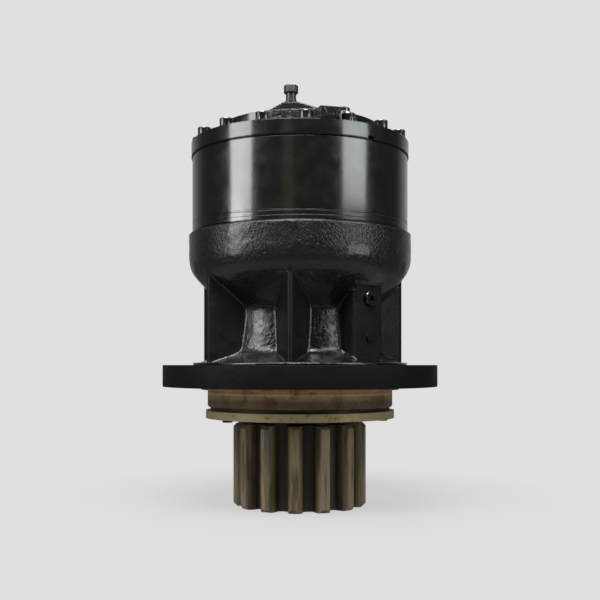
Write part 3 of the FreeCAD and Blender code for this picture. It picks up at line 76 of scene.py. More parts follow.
class Graph:
    """Adds nodes to a node tree and links their sockets by name."""

    PER_ROW = 9
    PITCH = (190, 260)
    MIX_FIRST = 6
    MIX_SECOND = 7
    MIX_RESULT = 2

    def __init__(self, tree: Tree) -> None:
        """Keep the tree and the count of nodes, which spreads them out."""
        self.tree = tree
        self.made = 0

    def add(self, kind: str, settings: dict[str, Any] | None = None, **sockets: Any) -> Any:
        """Add a node.

        Args:
            kind: The node's type name.
            settings: Attributes to set on the node.
            sockets: Input name, with spaces as underscores, or i0, i1, ... for an
                index, against a value or a socket to link from.

        Returns:
            The new node.
        """
        node = self.tree.nodes.new(kind)
        row, column = divmod(self.made, self.PER_ROW)
        node.location = (column * self.PITCH[0], -row * self.PITCH[1])
        self.made += 1
        for name, value in (settings or {}).items():
            setattr(node, name, value)
        for name, value in sockets.items():
            index = name[1:]
            place = int(index) if name[0] == "i" and index.isdigit() else name.replace("_", " ")
            self.feed(node.inputs[place], value)
        return node

    def feed(self, socket: Socket, value: Any) -> None:
        """Link a socket from another socket, or set its plain value.

        Args:
            socket: The input to fill.
            value: A socket, a number, a colour or another plain value.
        """
        if isinstance(value, Socket):
            self.tree.links.new(value, socket)
            return
        if isinstance(value, tuple) and len(value) == 3 and socket.type == "RGBA":
            value = (*value, 1.0)
        socket.default_value = value

    def maths(self, operation: str, *values: Any) -> Socket:
        """A math node.

        Args:
            operation: The node's operation.
            values: Up to three numbers or sockets.

        Returns:
            The result's socket.
        """
        node = self.add("ShaderNodeMath", {"operation": operation})
        for index, value in enumerate(values):
            self.feed(node.inputs[index], value)
        return node.outputs[0]

    def ramp(self, value: Any, low: Any, high: Any, to_low: float = 0.0, to_high: float = 1.0) -> Socket:
        """Smoothly map a value from one range to another, clamped.

        Args:
            value: The value's socket.
            low: Start of its range.
            high: End of its range.
            to_low: Result at the start.
            to_high: Result at the end.

        Returns:
            The result's socket.
        """
        node = self.add("ShaderNodeMapRange", {"interpolation_type": "SMOOTHSTEP"})
        for index, entry in enumerate((value, low, high, to_low, to_high)):
            self.feed(node.inputs[index], entry)
        return node.outputs[0]

    def mix(self, factor: Any, first: Any, second: Any) -> Socket:
        """Mix two colours.

        Args:
            factor: Share of the second colour.
            first: A colour or its socket.
            second: A colour or its socket.

        Returns:
            The mixed colour's socket.
        """
        node = self.add("ShaderNodeMix", {"data_type": "RGBA"})
        self.feed(node.inputs[0], factor)
        self.feed(node.inputs[self.MIX_FIRST], first)
        self.feed(node.inputs[self.MIX_SECOND], second)
        return node.outputs[self.MIX_RESULT]

    def place(self) -> Socket:
        """The surface's object coordinates, which are the frame's."""
        return self.add("ShaderNodeTexCoord").outputs["Object"]

    def height(self, place: Socket) -> Socket:
        """Height of a position."""
        return self.add("ShaderNodeSeparateXYZ", Vector=place).outputs[2]

    def flatten(self, place: Socket) -> Socket:
        """A position laid flat on level 0."""
        flat = self.add("ShaderNodeVectorMath", {"operation": "MULTIPLY"}, i0=place, i1=(1.0, 1.0, 0.0))
        return flat.outputs[0]

    def length(self, vector: Socket) -> Socket:
        """Length of a vector."""
        return self.add("ShaderNodeVectorMath", {"operation": "LENGTH"}, i0=vector).outputs["Value"]

    def speckle(self, place: Any, scale: Any, detail: float = 3.0, roughness: float = 0.55) -> Socket:
        """Noise from 0 to 1.

        Args:
            place: The position's socket.
            scale: Features in a metre, as a number or socket.
            detail: Octaves of finer noise.
            roughness: Share of each finer octave.

        Returns:
            The noise value's socket.
        """
        node = self.add("ShaderNodeTexNoise", Vector=place, Scale=scale, Detail=detail, Roughness=roughness)
        return node.outputs[0]

    def away(self, value: Any, centre: float) -> Socket:
        """Distance of a value from a centre."""
        return self.maths("ABSOLUTE", self.maths("SUBTRACT", value, centre))

    def bump(self, height: Any, strength: float, distance: float, normal: Any = None) -> Socket:
        """Normal of a relief.

        Args:
            height: The relief's socket.
            strength: Share of the relief.
            distance: Depth in metres.
            normal: The normal to start from, or None for the surface's own.

        Returns:
            The bumped normal's socket.
        """
        node = self.add("ShaderNodeBump", Strength=strength, Distance=distance, Height=height)
        if normal is not None:
            self.feed(node.inputs["Normal"], normal)
        return node.outputs[0]

    def use(self, tree: Tree, **sockets: Any) -> Any:
        """Place a shared effect.

        Args:
            tree: The effect's group.
            sockets: The group's inputs, with spaces as underscores.

        Returns:
            The group node's outputs, by name.
        """
        node = self.add("ShaderNodeGroup", {"node_tree": tree})
        for name, value in sockets.items():
            self.feed(node.inputs[name.replace("_", " ")], value)
        return node.outputs


class Effects:
    """Shared effects, each a node group made once."""

    BEVEL_SAMPLES = 4
    BROKEN = (0.35, 0.6)

    @staticmethod
    def group(name: str, inputs: dict[str, float], outputs: dict[str, str]) -> tuple[Any, ...]:
        """Start a group with float inputs and typed outputs.

        Args:
            name: The group's name.
            inputs: Name and starting value of each input.
            outputs: Name and socket type of each output.

        Returns:
            The tree, its graph, its input node's outputs and its output node's inputs.
        """
        tree = bpy.data.node_groups.new(name, "ShaderNodeTree")
        for label, value in inputs.items():
            socket = tree.interface.new_socket(label, in_out="INPUT", socket_type="NodeSocketFloat")
            socket.default_value = value
        for label, kind in outputs.items():
            tree.interface.new_socket(label, in_out="OUTPUT", socket_type=kind)
        graph = Graph(tree)
        return tree, graph, graph.add("NodeGroupInput").outputs, graph.add("NodeGroupOutput").inputs

    @staticmethod
    @cache
    def peel() -> Tree:
        """Height of paint over a rough casting: soft lumps with a finer orange peel."""
        inputs = {"Lump Scale": 150.0, "Peel Scale": 520.0, "Peel Share": 0.35}
        tree, graph, given, result = Effects.group("Peel", inputs, {"Height": "NodeSocketFloat"})
        place = graph.place()
        lumps = graph.speckle(place, given["Lump Scale"], 2.0, 0.5)
        fine = graph.add("ShaderNodeTexVoronoi", {"feature": "SMOOTH_F1"}, Vector=place)
        graph.feed(fine.inputs["Scale"], given["Peel Scale"])
        share = graph.maths("MULTIPLY", fine.outputs["Distance"], given["Peel Share"])
        graph.feed(result["Height"], graph.maths("ADD", lumps, share))
        return tree

    @staticmethod
    @cache
    def grime() -> Tree:
        """Blotchy mask of dust or staining, with finely broken edges."""
        inputs = {"Scale": 30.0, "Low": 0.45, "High": 0.7}
        tree, graph, given, result = Effects.group("Grime", inputs, {"Mask": "NodeSocketFloat"})
        wide = graph.speckle(graph.place(), given["Scale"], 6.0, 0.62)
        graph.feed(result["Mask"], graph.ramp(wide, given["Low"], given["High"]))
        return tree

    @staticmethod
    @cache
    def edges() -> Tree:
        """Softened normal and a broken mask along sharp edges."""
        inputs = {"Radius": 0.0006, "Scale": 180.0, "Gain": 4.0}
        outputs = {"Mask": "NodeSocketFloat", "Normal": "NodeSocketVector"}
        tree, graph, given, result = Effects.group("Edges", inputs, outputs)
        soft = graph.add("ShaderNodeBevel", {"samples": Effects.BEVEL_SAMPLES}, Radius=given["Radius"])
        plain = graph.add("ShaderNodeNewGeometry").outputs["Normal"]
        agree = graph.add("ShaderNodeVectorMath", {"operation": "DOT_PRODUCT"}, i0=plain, i1=soft.outputs[0])
        turned = graph.maths("SUBTRACT", 1.0, agree.outputs["Value"])
        gained = graph.maths("MULTIPLY", turned, given["Gain"])
        broken = graph.ramp(graph.speckle(graph.place(), given["Scale"], 4.0, 0.5), *Effects.BROKEN)
        graph.feed(result["Mask"], graph.maths("MINIMUM", graph.maths("MULTIPLY", gained, broken), 1.0))
        graph.feed(result["Normal"], soft.outputs[0])
        return tree

    @staticmethod
    @cache
    def turning() -> Tree:
        """Fine turned lines round the axis, as a height."""
        inputs = {"Line Scale": 900.0}
        tree, graph, given, result = Effects.group("Turning", inputs, {"Height": "NodeSocketFloat"})
        place = graph.place()
        radius = graph.length(graph.flatten(place))
        lines = graph.add("ShaderNodeTexNoise", {"noise_dimensions": "1D"}, Detail=3.0)
        graph.feed(lines.inputs["W"], graph.maths("ADD", radius, graph.height(place)))
        graph.feed(lines.inputs["Scale"], given["Line Scale"])
        graph.feed(result["Height"], lines.outputs[0])
        return tree


@dataclass(frozen=True)
class Finish:
    """A finish of one name; its kinds say how the surface is made."""

    name: str

    def shader(self, graph: Graph) -> Any:
        """Add the finish's own Principled shader, linked to the output.

        Args:
            graph: The material's graph.

        Returns:
            The shader node's inputs, by name.
        """
        body = graph.add("ShaderNodeBsdfPrincipled")
        graph.add("ShaderNodeOutputMaterial", Surface=body.outputs[0])
        return body.inputs

    def dress(self, graph: Graph) -> Any:
        """Fill the material's tree; each kind has its own."""
        raise NotImplementedError(self.name)

    def build(self) -> bpy.types.Material:
        """Make the material once and return it."""
        name = f"finish_{self.name}"
        if name in bpy.data.materials:
            return bpy.data.materials[name]
        material = bpy.data.materials.new(name)
        material.use_nodes = True
        material.node_tree.nodes.clear()
        self.dress(Graph(material.node_tree))
        return material


@dataclass(frozen=True)
class Seam:
    """A joint line round the body: its height, half width and the share of coat left in it."""

    level: float
    half: float
    floor: float = 0.0


@dataclass(frozen=True)
class Paint(Finish):
    """Black paint, smooth over turned faces or thick over a casting.

    Above dull_from, over a height of dull_over, the paint gets rougher by
    dull_by and its relief grows from the share low_relief to the whole.
    """

    colour: Colour = (0.003, 0.0032, 0.0033)
    dusty: Colour = (0.009, 0.0085, 0.0075)
    dust: float = 0.25
    dust_scale: float = 24.0
    dust_spread: Pair = (0.42, 0.75)
    patch_scale: float = 60.0
    rough_low: float = 0.16
    rough_high: float = 0.32
    lump_scale: float = 150.0
    peel_scale: float = 520.0
    peel_share: float = 0.3
    depth: float = 0.0004
    edge: float = 0.0008
    coat: float = 0.4
    coat_rough: float = 0.08
    shine: float = 0.5
    dull_from: float = 9.0
    dull_over: float = 0.04
    dull_by: float = 0.0
    low_relief: float = 1.0
    seams: tuple[Seam, ...] = ()
    groove_depth: float = 0.0012

    def dress(self, graph: Graph) -> Any:
        """Fill the tree with dust in patches, lumpy relief, soft edges and joint lines.

        Args:
            graph: The material's graph.

        Returns:
            The shader's inputs, by name.
        """
        body = self.shader(graph)
        body["Specular IOR Level"].default_value = self.shine
        body["Coat Roughness"].default_value = self.coat_rough
        body["Coat Weight"].default_value = self.coat
        low, high = self.dust_spread
        grime = graph.use(Effects.grime(), Scale=self.dust_scale, Low=low, High=high)
        dust = graph.maths("MULTIPLY", grime["Mask"], self.dust)
        graph.feed(body["Base Color"], graph.mix(dust, self.colour, self.dusty))
        place = graph.place()
        height = graph.height(place)
        patch = graph.speckle(place, self.patch_scale, 4.0)
        rough = graph.ramp(patch, *MIDDLE_OF_NOISE, self.rough_low, self.rough_high)
        dull_end = self.dull_from + self.dull_over
        dull = graph.ramp(height, self.dull_from, dull_end, 0.0, self.dull_by)
        graph.feed(body["Roughness"], graph.maths("ADD", rough, dull))
        open_face: Any = 1.0
        for seam in self.seams:
            beside = graph.ramp(graph.away(height, seam.level), 0.0, seam.half, seam.floor, 1.0)
            open_face = graph.maths("MINIMUM", open_face, beside)
        if self.seams:
            graph.feed(body["Coat Weight"], graph.maths("MULTIPLY", open_face, self.coat))
        edges = graph.use(Effects.edges(), Radius=self.edge)
        groove = graph.bump(open_face, 1.0, self.groove_depth, edges["Normal"])
        peel = graph.use(
            Effects.peel(),
            Lump_Scale=self.lump_scale,
            Peel_Scale=self.peel_scale,
            Peel_Share=self.peel_share,
        )
        share = graph.ramp(height, self.dull_from, dull_end, self.low_relief, 1.0)
        relief = graph.maths("MULTIPLY", peel["Height"], share)
        graph.feed(body["Normal"], graph.bump(relief, 1.0, self.depth, groove))
        return body


@dataclass(frozen=True)
class Metal(Finish):
    """Bare or plated metal with turned lines, stains and worn edges."""

    colour: Colour = (0.35, 0.34, 0.32)
    stain: Colour = (0.2, 0.17, 0.13)
    stain_scale: float = 60.0
    stain_spread: Pair = (0.45, 0.75)
    worn: Colour = (0.55, 0.54, 0.5)
    worn_share: float = 0.6
    metallic: float = 1.0
    patch_scale: float = 140.0
    rough_low: float = 0.22
    rough_high: float = 0.42
    line_scale: float = 900.0
    line_share: float = 0.12
    line_depth: float = 0.0002
    edge: float = 0.0005
    edge_scale: float = 220.0
    edge_gain: float = 6.0

    def dress(self, graph: Graph) -> Any:
        """Fill the tree with metal colour, stains, bright edges and turned lines.

        Args:
            graph: The material's graph.

        Returns:
            The shader's inputs, by name.
        """
        body = self.shader(graph)
        body["Metallic"].default_value = self.metallic
        low, high = self.stain_spread
        grime = graph.use(Effects.grime(), Scale=self.stain_scale, Low=low, High=high)
        edges = graph.use(Effects.edges(), Radius=self.edge, Scale=self.edge_scale, Gain=self.edge_gain)
        tone = graph.mix(grime["Mask"], self.colour, self.stain)
        bright = graph.maths("MULTIPLY", edges["Mask"], self.worn_share)
        graph.feed(body["Base Color"], graph.mix(bright, tone, self.worn))
        patch = graph.speckle(graph.place(), self.patch_scale, 4.0)
        graph.feed(body["Roughness"], graph.ramp(patch, *MIDDLE_OF_NOISE, self.rough_low, self.rough_high))
        lines = graph.use(Effects.turning(), Line_Scale=self.line_scale)
        normal = graph.bump(lines["Height"], self.line_share, self.line_depth, edges["Normal"])
        graph.feed(body["Normal"], normal)
        return body


@dataclass(frozen=True)
class OiledTeeth(Finish):
    """Oiled, olive-brown tooth steel: painted shade in the dark roots, painted light on the lighter tip lands,
    lighter worn edges and streaks of oil.
    """

    # root, flank and land: painted shade that darkens the tooth roots between the teeth, and a lighter painted
    # tone on the lit tip lands
    root: Colour = (0.018, 0.0125, 0.005)
    flank: Colour = (0.088, 0.066, 0.034)
    land: Colour = (0.18, 0.142, 0.076)
    worn: Colour = (0.26, 0.22, 0.14)
    oil: Colour = (0.034, 0.025, 0.012)
    root_radius: float = 0.0645
    tip_radius: float = 0.085
    metallic: float = 0.3
    streak_stretch: float = 0.08
    oil_scale: float = 150.0
    oil_spread: Pair = (0.44, 0.64)
    oil_share: float = 0.8
    worn_share: float = 0.75
    edge: float = 0.0008
    edge_scale: float = 130.0
    edge_gain: float = 5.0
    gloss_scale: float = 210.0
    rough_low: float = 0.4
    rough_high: float = 0.58
    grain_scale: float = 420.0
    grain_share: float = 0.3
    grain_depth: float = 0.0002

    def dress(self, graph: Graph) -> Any:
        """Fill the tree with colour by the distance from the axis, which paints shade into the roots and light
        onto the tip lands, and oil down the teeth.

        Args:
            graph: The material's graph.

        Returns:
            The shader's inputs, by name.
        """
        body = self.shader(graph)
        body["Metallic"].default_value = self.metallic
        place = graph.place()
        radius = graph.length(graph.flatten(place))
        # painted shade and light: darker towards the tooth roots, lighter towards the tip lands
        middle = (self.root_radius + self.tip_radius) / 2
        tone = graph.mix(graph.ramp(radius, self.root_radius, middle), self.root, self.flank)
        tone = graph.mix(graph.ramp(radius, middle, self.tip_radius), tone, self.land)
        streak = graph.add("ShaderNodeMapping", Vector=place, Scale=(1.0, 1.0, self.streak_stretch)).outputs[0]
        drips = graph.speckle(streak, self.oil_scale, 4.0, 0.6)
        tone = graph.mix(graph.ramp(drips, *self.oil_spread, 0.0, self.oil_share), tone, self.oil)
        edges = graph.use(Effects.edges(), Radius=self.edge, Scale=self.edge_scale, Gain=self.edge_gain)
        tone = graph.mix(graph.maths("MULTIPLY", edges["Mask"], self.worn_share), tone, self.worn)
        graph.feed(body["Base Color"], tone)
        gloss = graph.speckle(streak, self.gloss_scale, 2.0)
        graph.feed(body["Roughness"], graph.ramp(gloss, *MIDDLE_OF_NOISE, self.rough_low, self.rough_high))
        grain = graph.speckle(place, self.grain_scale, 2.0)
        graph.feed(body["Normal"], graph.bump(grain, self.grain_share, self.grain_depth))
        return body


@dataclass(frozen=True)
class Varnish(Finish):
    """Brown protective varnish over a turned spigot, with rust showing through."""

    brown: Colour = (0.22, 0.142, 0.056)
    pale: Colour = (0.38, 0.28, 0.145)
    red: Colour = (0.05, 0.018, 0.007)
    rust: Colour = (0.3, 0.1, 0.025)
    shade: Colour = (0.03, 0.017, 0.007)
    shine: float = 0.3
    flow_scale: float = 52.0
    flow_spread: Pair = (0.42, 0.7)
    band_level: float = -0.0086
    band_halves: Pair = (0.0004, 0.0019)
    band_share: float = 0.95
    band_spread: Pair = (0.3, 0.6)
    band_left: float = 0.4
    spot_scale: float = 150.0
    spot_spread: Pair = (0.57, 0.68)
    lip_level: float = -0.0035
    lip_half: float = 0.0012
    lip_spread: Pair = (0.4, 0.6)
    rust_share: float = 0.7
    shade_levels: Pair = (-0.018, -0.011)
    shade_left: float = 0.3
    rough_spread: Pair = (0.35, 0.7)
    rough_low: float = 0.3
    rough_high: float = 0.6
    line_scale: float = 700.0
    line_share: float = 0.35
    line_depth: float = 0.0003

    def dress(self, graph: Graph) -> Any:
        """Fill the tree with turned varnish, a pale band, red patches and a rusty lip.

        Args:
            graph: The material's graph.

        Returns:
            The shader's inputs, by name.
        """
        body = self.shader(graph)
        body["Specular IOR Level"].default_value = self.shine
        place = graph.place()
        height = graph.height(place)
        flow = graph.speckle(place, self.flow_scale, 7.0, 0.72)
        tone = graph.mix(graph.ramp(flow, *self.flow_spread), self.brown, self.red)
        away = graph.away(height, self.band_level)
        band = graph.ramp(away, *self.band_halves, self.band_share, 0.0)
        broken = graph.ramp(flow, *self.band_spread, 1.0, self.band_left)
        tone = graph.mix(graph.maths("MULTIPLY", band, broken), tone, self.pale)
        spots = graph.speckle(place, self.spot_scale, 6.0, 0.7)
        lip = graph.ramp(height, self.lip_level - self.lip_half, self.lip_level + self.lip_half)
        lip = graph.maths("MULTIPLY", lip, graph.ramp(spots, *self.lip_spread))
        rusty = graph.maths("MAXIMUM", graph.ramp(spots, *self.spot_spread), lip)
        tone = graph.mix(graph.maths("MULTIPLY", rusty, self.rust_share), tone, self.rust)
        low = graph.ramp(height, *self.shade_levels, self.shade_left, 1.0)
        graph.feed(body["Base Color"], graph.mix(low, self.shade, tone))
        rough = graph.ramp(spots, *self.rough_spread, self.rough_low, self.rough_high)
        graph.feed(body["Roughness"], rough)
        lines = graph.use(Effects.turning(), Line_Scale=self.line_scale)
        relief = graph.maths("ADD", lines["Height"], spots)
        graph.feed(body["Normal"], graph.bump(relief, self.line_share, self.line_depth))
        return body


@dataclass(frozen=True)
class Rubber(Finish):
    """Matt black rubber of the seal."""

    colour: Colour = (0.02, 0.02, 0.021)
    bloom: Colour = (0.045, 0.043, 0.04)
    bloom_scale: float = 80.0
    bloom_spread: Pair = (0.4, 0.8)
    grain_scale: float = 900.0
    grain_share: float = 0.2
    grain_depth: float = 0.0001
    rough_low: float = 0.55
    rough_high: float = 0.75

    def dress(self, graph: Graph) -> Any:
        """Fill the tree with dark rubber and a faint bloom.

        Args:
            graph: The material's graph.

        Returns:
            The shader's inputs, by name.
        """
        body = self.shader(graph)
        low, high = self.bloom_spread
        grime = graph.use(Effects.grime(), Scale=self.bloom_scale, Low=low, High=high)
        graph.feed(body["Base Color"], graph.mix(grime["Mask"], self.colour, self.bloom))
        grain = graph.speckle(graph.place(), self.grain_scale, 2.0)
        graph.feed(body["Roughness"], graph.ramp(grain, *MIDDLE_OF_NOISE, self.rough_low, self.rough_high))
        graph.feed(body["Normal"], graph.bump(grain, self.grain_share, self.grain_depth))
        return body


@dataclass(frozen=True)
class RingBody(Finish):
    """Painted outside and bare inside of the ring gear and the cover."""

    paint: Paint
    steel: Colour = (0.36, 0.35, 0.33)
    stain: Colour = (0.2, 0.17, 0.12)
    stain_scale: float = 90.0
    stain_spread: Pair = (0.4, 0.7)
    inner_radius: float = 0.1175
    bare_below: float = 10.0

    def dress(self, graph: Graph) -> Any:
        """Fill the tree with the paint, and with steel within a radius and below a level.

        Args:
            graph: The material's graph.

        Returns:
            The shader's inputs, by name.
        """
        body = self.paint.dress(graph)
        place = graph.place()
        within = graph.maths("LESS_THAN", graph.length(graph.flatten(place)), self.inner_radius)
        below = graph.maths("LESS_THAN", graph.height(place), self.bare_below)
        bare = graph.maths("MULTIPLY", within, below)
        painted = body["Base Color"].links[0].from_socket
        stains = graph.ramp(graph.speckle(place, self.stain_scale, 4.0), *self.stain_spread)
        stained = graph.mix(stains, self.steel, self.stain)
        graph.feed(body["Base Color"], graph.mix(bare, painted, stained))
        graph.feed(body["Metallic"], bare)
        return body


class Slot(Enum):
    """The record's material slots."""

    CAST = "cast_paint"
    RING = "ring_paint"
    SCREW = "screw_paint"
    PINION = "oiled_pinion"
    PLATE = "plate_zinc"
    SHIM = "shim_steel"
    SLEEVE = "sleeve_steel"
    SEAL = "seal_rubber"
    PLATE_SCREW = "plate_screw_steel"
    BEARING = "bearing_steel"
    CAGE = "cage_steel"
    TURNED = "turned_steel"
    CARRIER = "carrier_iron"
    GEAR = "gear_steel"
    BUSH = "bush_bronze"
    BREATHER = "breather_steel"
    PLUG = "plug_steel"
    WASHER = "washer_copper"


CAST_SKIN = Paint(
    "thick_cast_paint",
    lump_scale=260.0,
    peel_scale=700.0,
    peel_share=0.5,
    depth=0.0008,
    rough_low=0.1,
    rough_high=0.2,
    coat=0.35,
    coat_rough=0.1,
    shine=0.42,
    dull_from=0.1,
    dull_by=0.16,
    low_relief=0.75,
)
FLAT_FACES = Paint("boss_paint", rough_low=0.38, rough_high=0.55, coat=0.0, shine=0.2)
FLANGE_PAINT = Paint("flange_paint", rough_low=0.48, rough_high=0.62, coat=0.0, shine=0.08, dust=0.06)
COVER_JOINT = Seam(0.288, 0.0018)
RING_PAINT = RingBody(
    "ring_paint",
    paint=Paint(
        "ring_paint_outside",
        depth=0.0002,
        lump_scale=60.0,
        rough_high=0.26,
        coat=1.0,
        coat_rough=0.12,
        edge=0.0006,
        seams=(
            COVER_JOINT,
            Seam(0.2025, 0.0006, 0.6),
            Seam(0.1972, 0.0006, 0.7),
            Seam(0.192, 0.0016),
        ),
    ),
)
COVER_PAINT = RingBody(
    "cover_paint",
    paint=Paint(
        "cover_paint_outside",
        depth=0.0007,
        rough_high=0.26,
        coat=0.8,
        coat_rough=0.1,
        edge=0.0022,
        dull_from=0.306,
        dull_over=0.003,
        dull_by=0.02,
        low_relief=0.02,
        seams=(COVER_JOINT,),
    ),
    bare_below=0.296,
)
SCREW_PAINT = Paint("screw_paint", depth=0.0002, rough_low=0.18, rough_high=0.34, coat=0.8, edge=0.0004)
BREATHER_PAINT = Paint("breather_paint", depth=0.0002, rough_low=0.3, rough_high=0.45, coat=0.15)
SPIGOT_VARNISH = Varnish("spigot_varnish")
BY_SLOT: dict[Slot, Finish] = {
    Slot.CAST: COVER_PAINT,
    Slot.RING: RING_PAINT,
    Slot.SCREW: SCREW_PAINT,
    Slot.BREATHER: BREATHER_PAINT,
    Slot.PLUG: SCREW_PAINT,
    Slot.PINION: OiledTeeth("oiled_pinion"),
    Slot.SEAL: Rubber("seal_rubber"),
    Slot.TURNED: Metal("turned_steel", colour=(0.46, 0.46, 0.45)),
    Slot.GEAR: Metal("gear_steel", colour=(0.33, 0.32, 0.3), stain=(0.2, 0.17, 0.12)),
    Slot.CAGE: Metal("cage_steel", colour=(0.4, 0.38, 0.34), rough_low=0.3, rough_high=0.5),
    Slot.BUSH: Metal(
        "bush_bronze", colour=(0.55, 0.33, 0.13), stain=(0.3, 0.17, 0.07), worn=(0.7, 0.48, 0.24)
    ),
    # painted shade: near-black steel for the sleeve in the shadowed gap between plate and pinion
    Slot.SLEEVE: Metal(
        "sleeve_steel", colour=(0.03, 0.028, 0.025), stain=(0.05, 0.035, 0.02), worn=(0.12, 0.11, 0.1)
    ),
    Slot.PLATE: Metal(
        "plate_zinc",
        colour=(0.255, 0.208, 0.1),
        stain=(0.2, 0.1, 0.022),
        stain_scale=110.0,
        stain_spread=(0.56, 0.66),
        worn=(0.5, 0.47, 0.33),
        metallic=0.3,
        rough_low=0.34,
        rough_high=0.6,
    ),
    # painted shade: the shim is near black so that it reads as the shadowed gap between spigot and plate
    Slot.SHIM: Metal(
        "shim_steel",
        colour=(0.02, 0.018, 0.015),
        stain=(0.05, 0.03, 0.015),
        worn=(0.06, 0.055, 0.05),
        metallic=0.6,
        rough_low=0.4,
        rough_high=0.6,
    ),
    Slot.PLATE_SCREW: Metal(
        "plate_screw_steel",
        colour=(0.03, 0.03, 0.03),
        stain=(0.06, 0.035, 0.02),
        worn=(0.16, 0.15, 0.13),
        rough_low=0.3,
        rough_high=0.5,
    ),
    Slot.BEARING: Metal(
        "bearing_steel",
        colour=(0.56, 0.56, 0.56),
        stain=(0.4, 0.38, 0.34),
        rough_low=0.12,
        rough_high=0.24,
        line_scale=1600.0,
    ),
    Slot.CARRIER: Metal(
        "carrier_iron", colour=(0.16, 0.16, 0.16), stain=(0.08, 0.07, 0.06), rough_low=0.35, rough_high=0.55
    ),
    Slot.WASHER: Metal(
        "washer_copper",
        colour=(0.62, 0.5, 0.42),
        stain=(0.3, 0.2, 0.15),
        worn=(0.8, 0.68, 0.6),
        rough_low=0.2,
        rough_high=0.35,
    ),
}


def dress_nodes() -> None:
    """Give every CAD node its slot's finish."""
    for part in frame["record"]["subparts"]:
        node = frame["nodes"][part["node"]]
        node.data.materials.clear()
        node.data.materials.append(BY_SLOT[Slot(part["material_slot"])].build())
        LOG.info("node %s wears %s", part["node"], part["material_slot"])


def link_mesh(name: str, points: Sequence[Any], faces: Sequence[Any], sharp: float) -> Piece:
    """Make an object at the origin from points and faces.

    Args:
        name: The piece's name.
        points: Points in metres.
        faces: Faces as index tuples.
        sharp: Edges turning by more than this many degrees stay sharp.

    Returns:
        The object, with its doubles merged and its faces outward.
    """
    mesh = bpy.data.meshes.new(name)
    mesh.from_pydata([tuple(point) for point in points], [], [tuple(face) for face in faces])
    work = bmesh.new()
    work.from_mesh(mesh)
    bmesh.ops.remove_doubles(work, verts=work.verts, dist=WELD)
    bmesh.ops.recalc_face_normals(work, faces=work.faces)
    work.to_mesh(mesh)
    work.free()
    mesh.shade_smooth()
    mesh.set_sharp_from_angle(angle=math.radians(sharp))
    piece = bpy.data.objects.new(name, mesh)
    bpy.context.scene.collection.objects.link(piece)
    return piece


def grid_faces(rows: int, columns: int) -> list[tuple[int, int, int, int]]:
    """Quads of a grid that closes both ways.

    Args:
        rows: Count of rows.
        columns: Points in a row.

    Returns:
        The quads, row after row.
    """
    faces = []
    for row in range(rows):
        over = (row + 1) % rows
        for column in range(columns):
            beside = (column + 1) % columns
            here = (row * columns + column, row * columns + beside)
            faces.append((*here, over * columns + beside, over * columns + column))
    return faces


def rounded(profile: Profile, radius: float, steps: int = 3, most: float = 0.45) -> list[Pair]:
    """Round every corner of a closed profile.

    Args:
        profile: Corners (radius, level) in millimetres.
        radius: The rounding.
        steps: Segments of each rounding.
        most: Share of an edge that a rounding may take.

    Returns:
        The rounded profile.
    """
    made = []
    count = len(profile)
    for index, corner in enumerate(profile):
        here = Vector(corner)
        before = Vector(profile[index - 1]) - here
        after = Vector(profile[(index + 1) % count]) - here
        cut = min(radius, before.length * most, after.length * most)
        start = here + before.normalized() * cut
        end = here + after.normalized() * cut
        for step in range(steps + 1):
            share = step / steps
            point = start.lerp(here, share).lerp(here.lerp(end, share), share)
            made.append((point.x, point.y))
    return made


def lathe(name: str, profile: Profile, columns: int) -> Piece:
    """Turn a closed profile about the axis.

    Args:
        name: The piece's name.
        profile: Corners (radius, level) in millimetres.
        columns: Points round the axis.

    Returns:
        The turned piece.
    """
    points = []
    for radius, level in profile:
        for column in range(columns):
            x_way, y_way = from_front(360.0 * column / columns)
            points.append((radius * x_way * MM, radius * y_way * MM, level * MM))
    return link_mesh(name, points, grid_faces(len(profile), columns), OBJECT_SHARP)


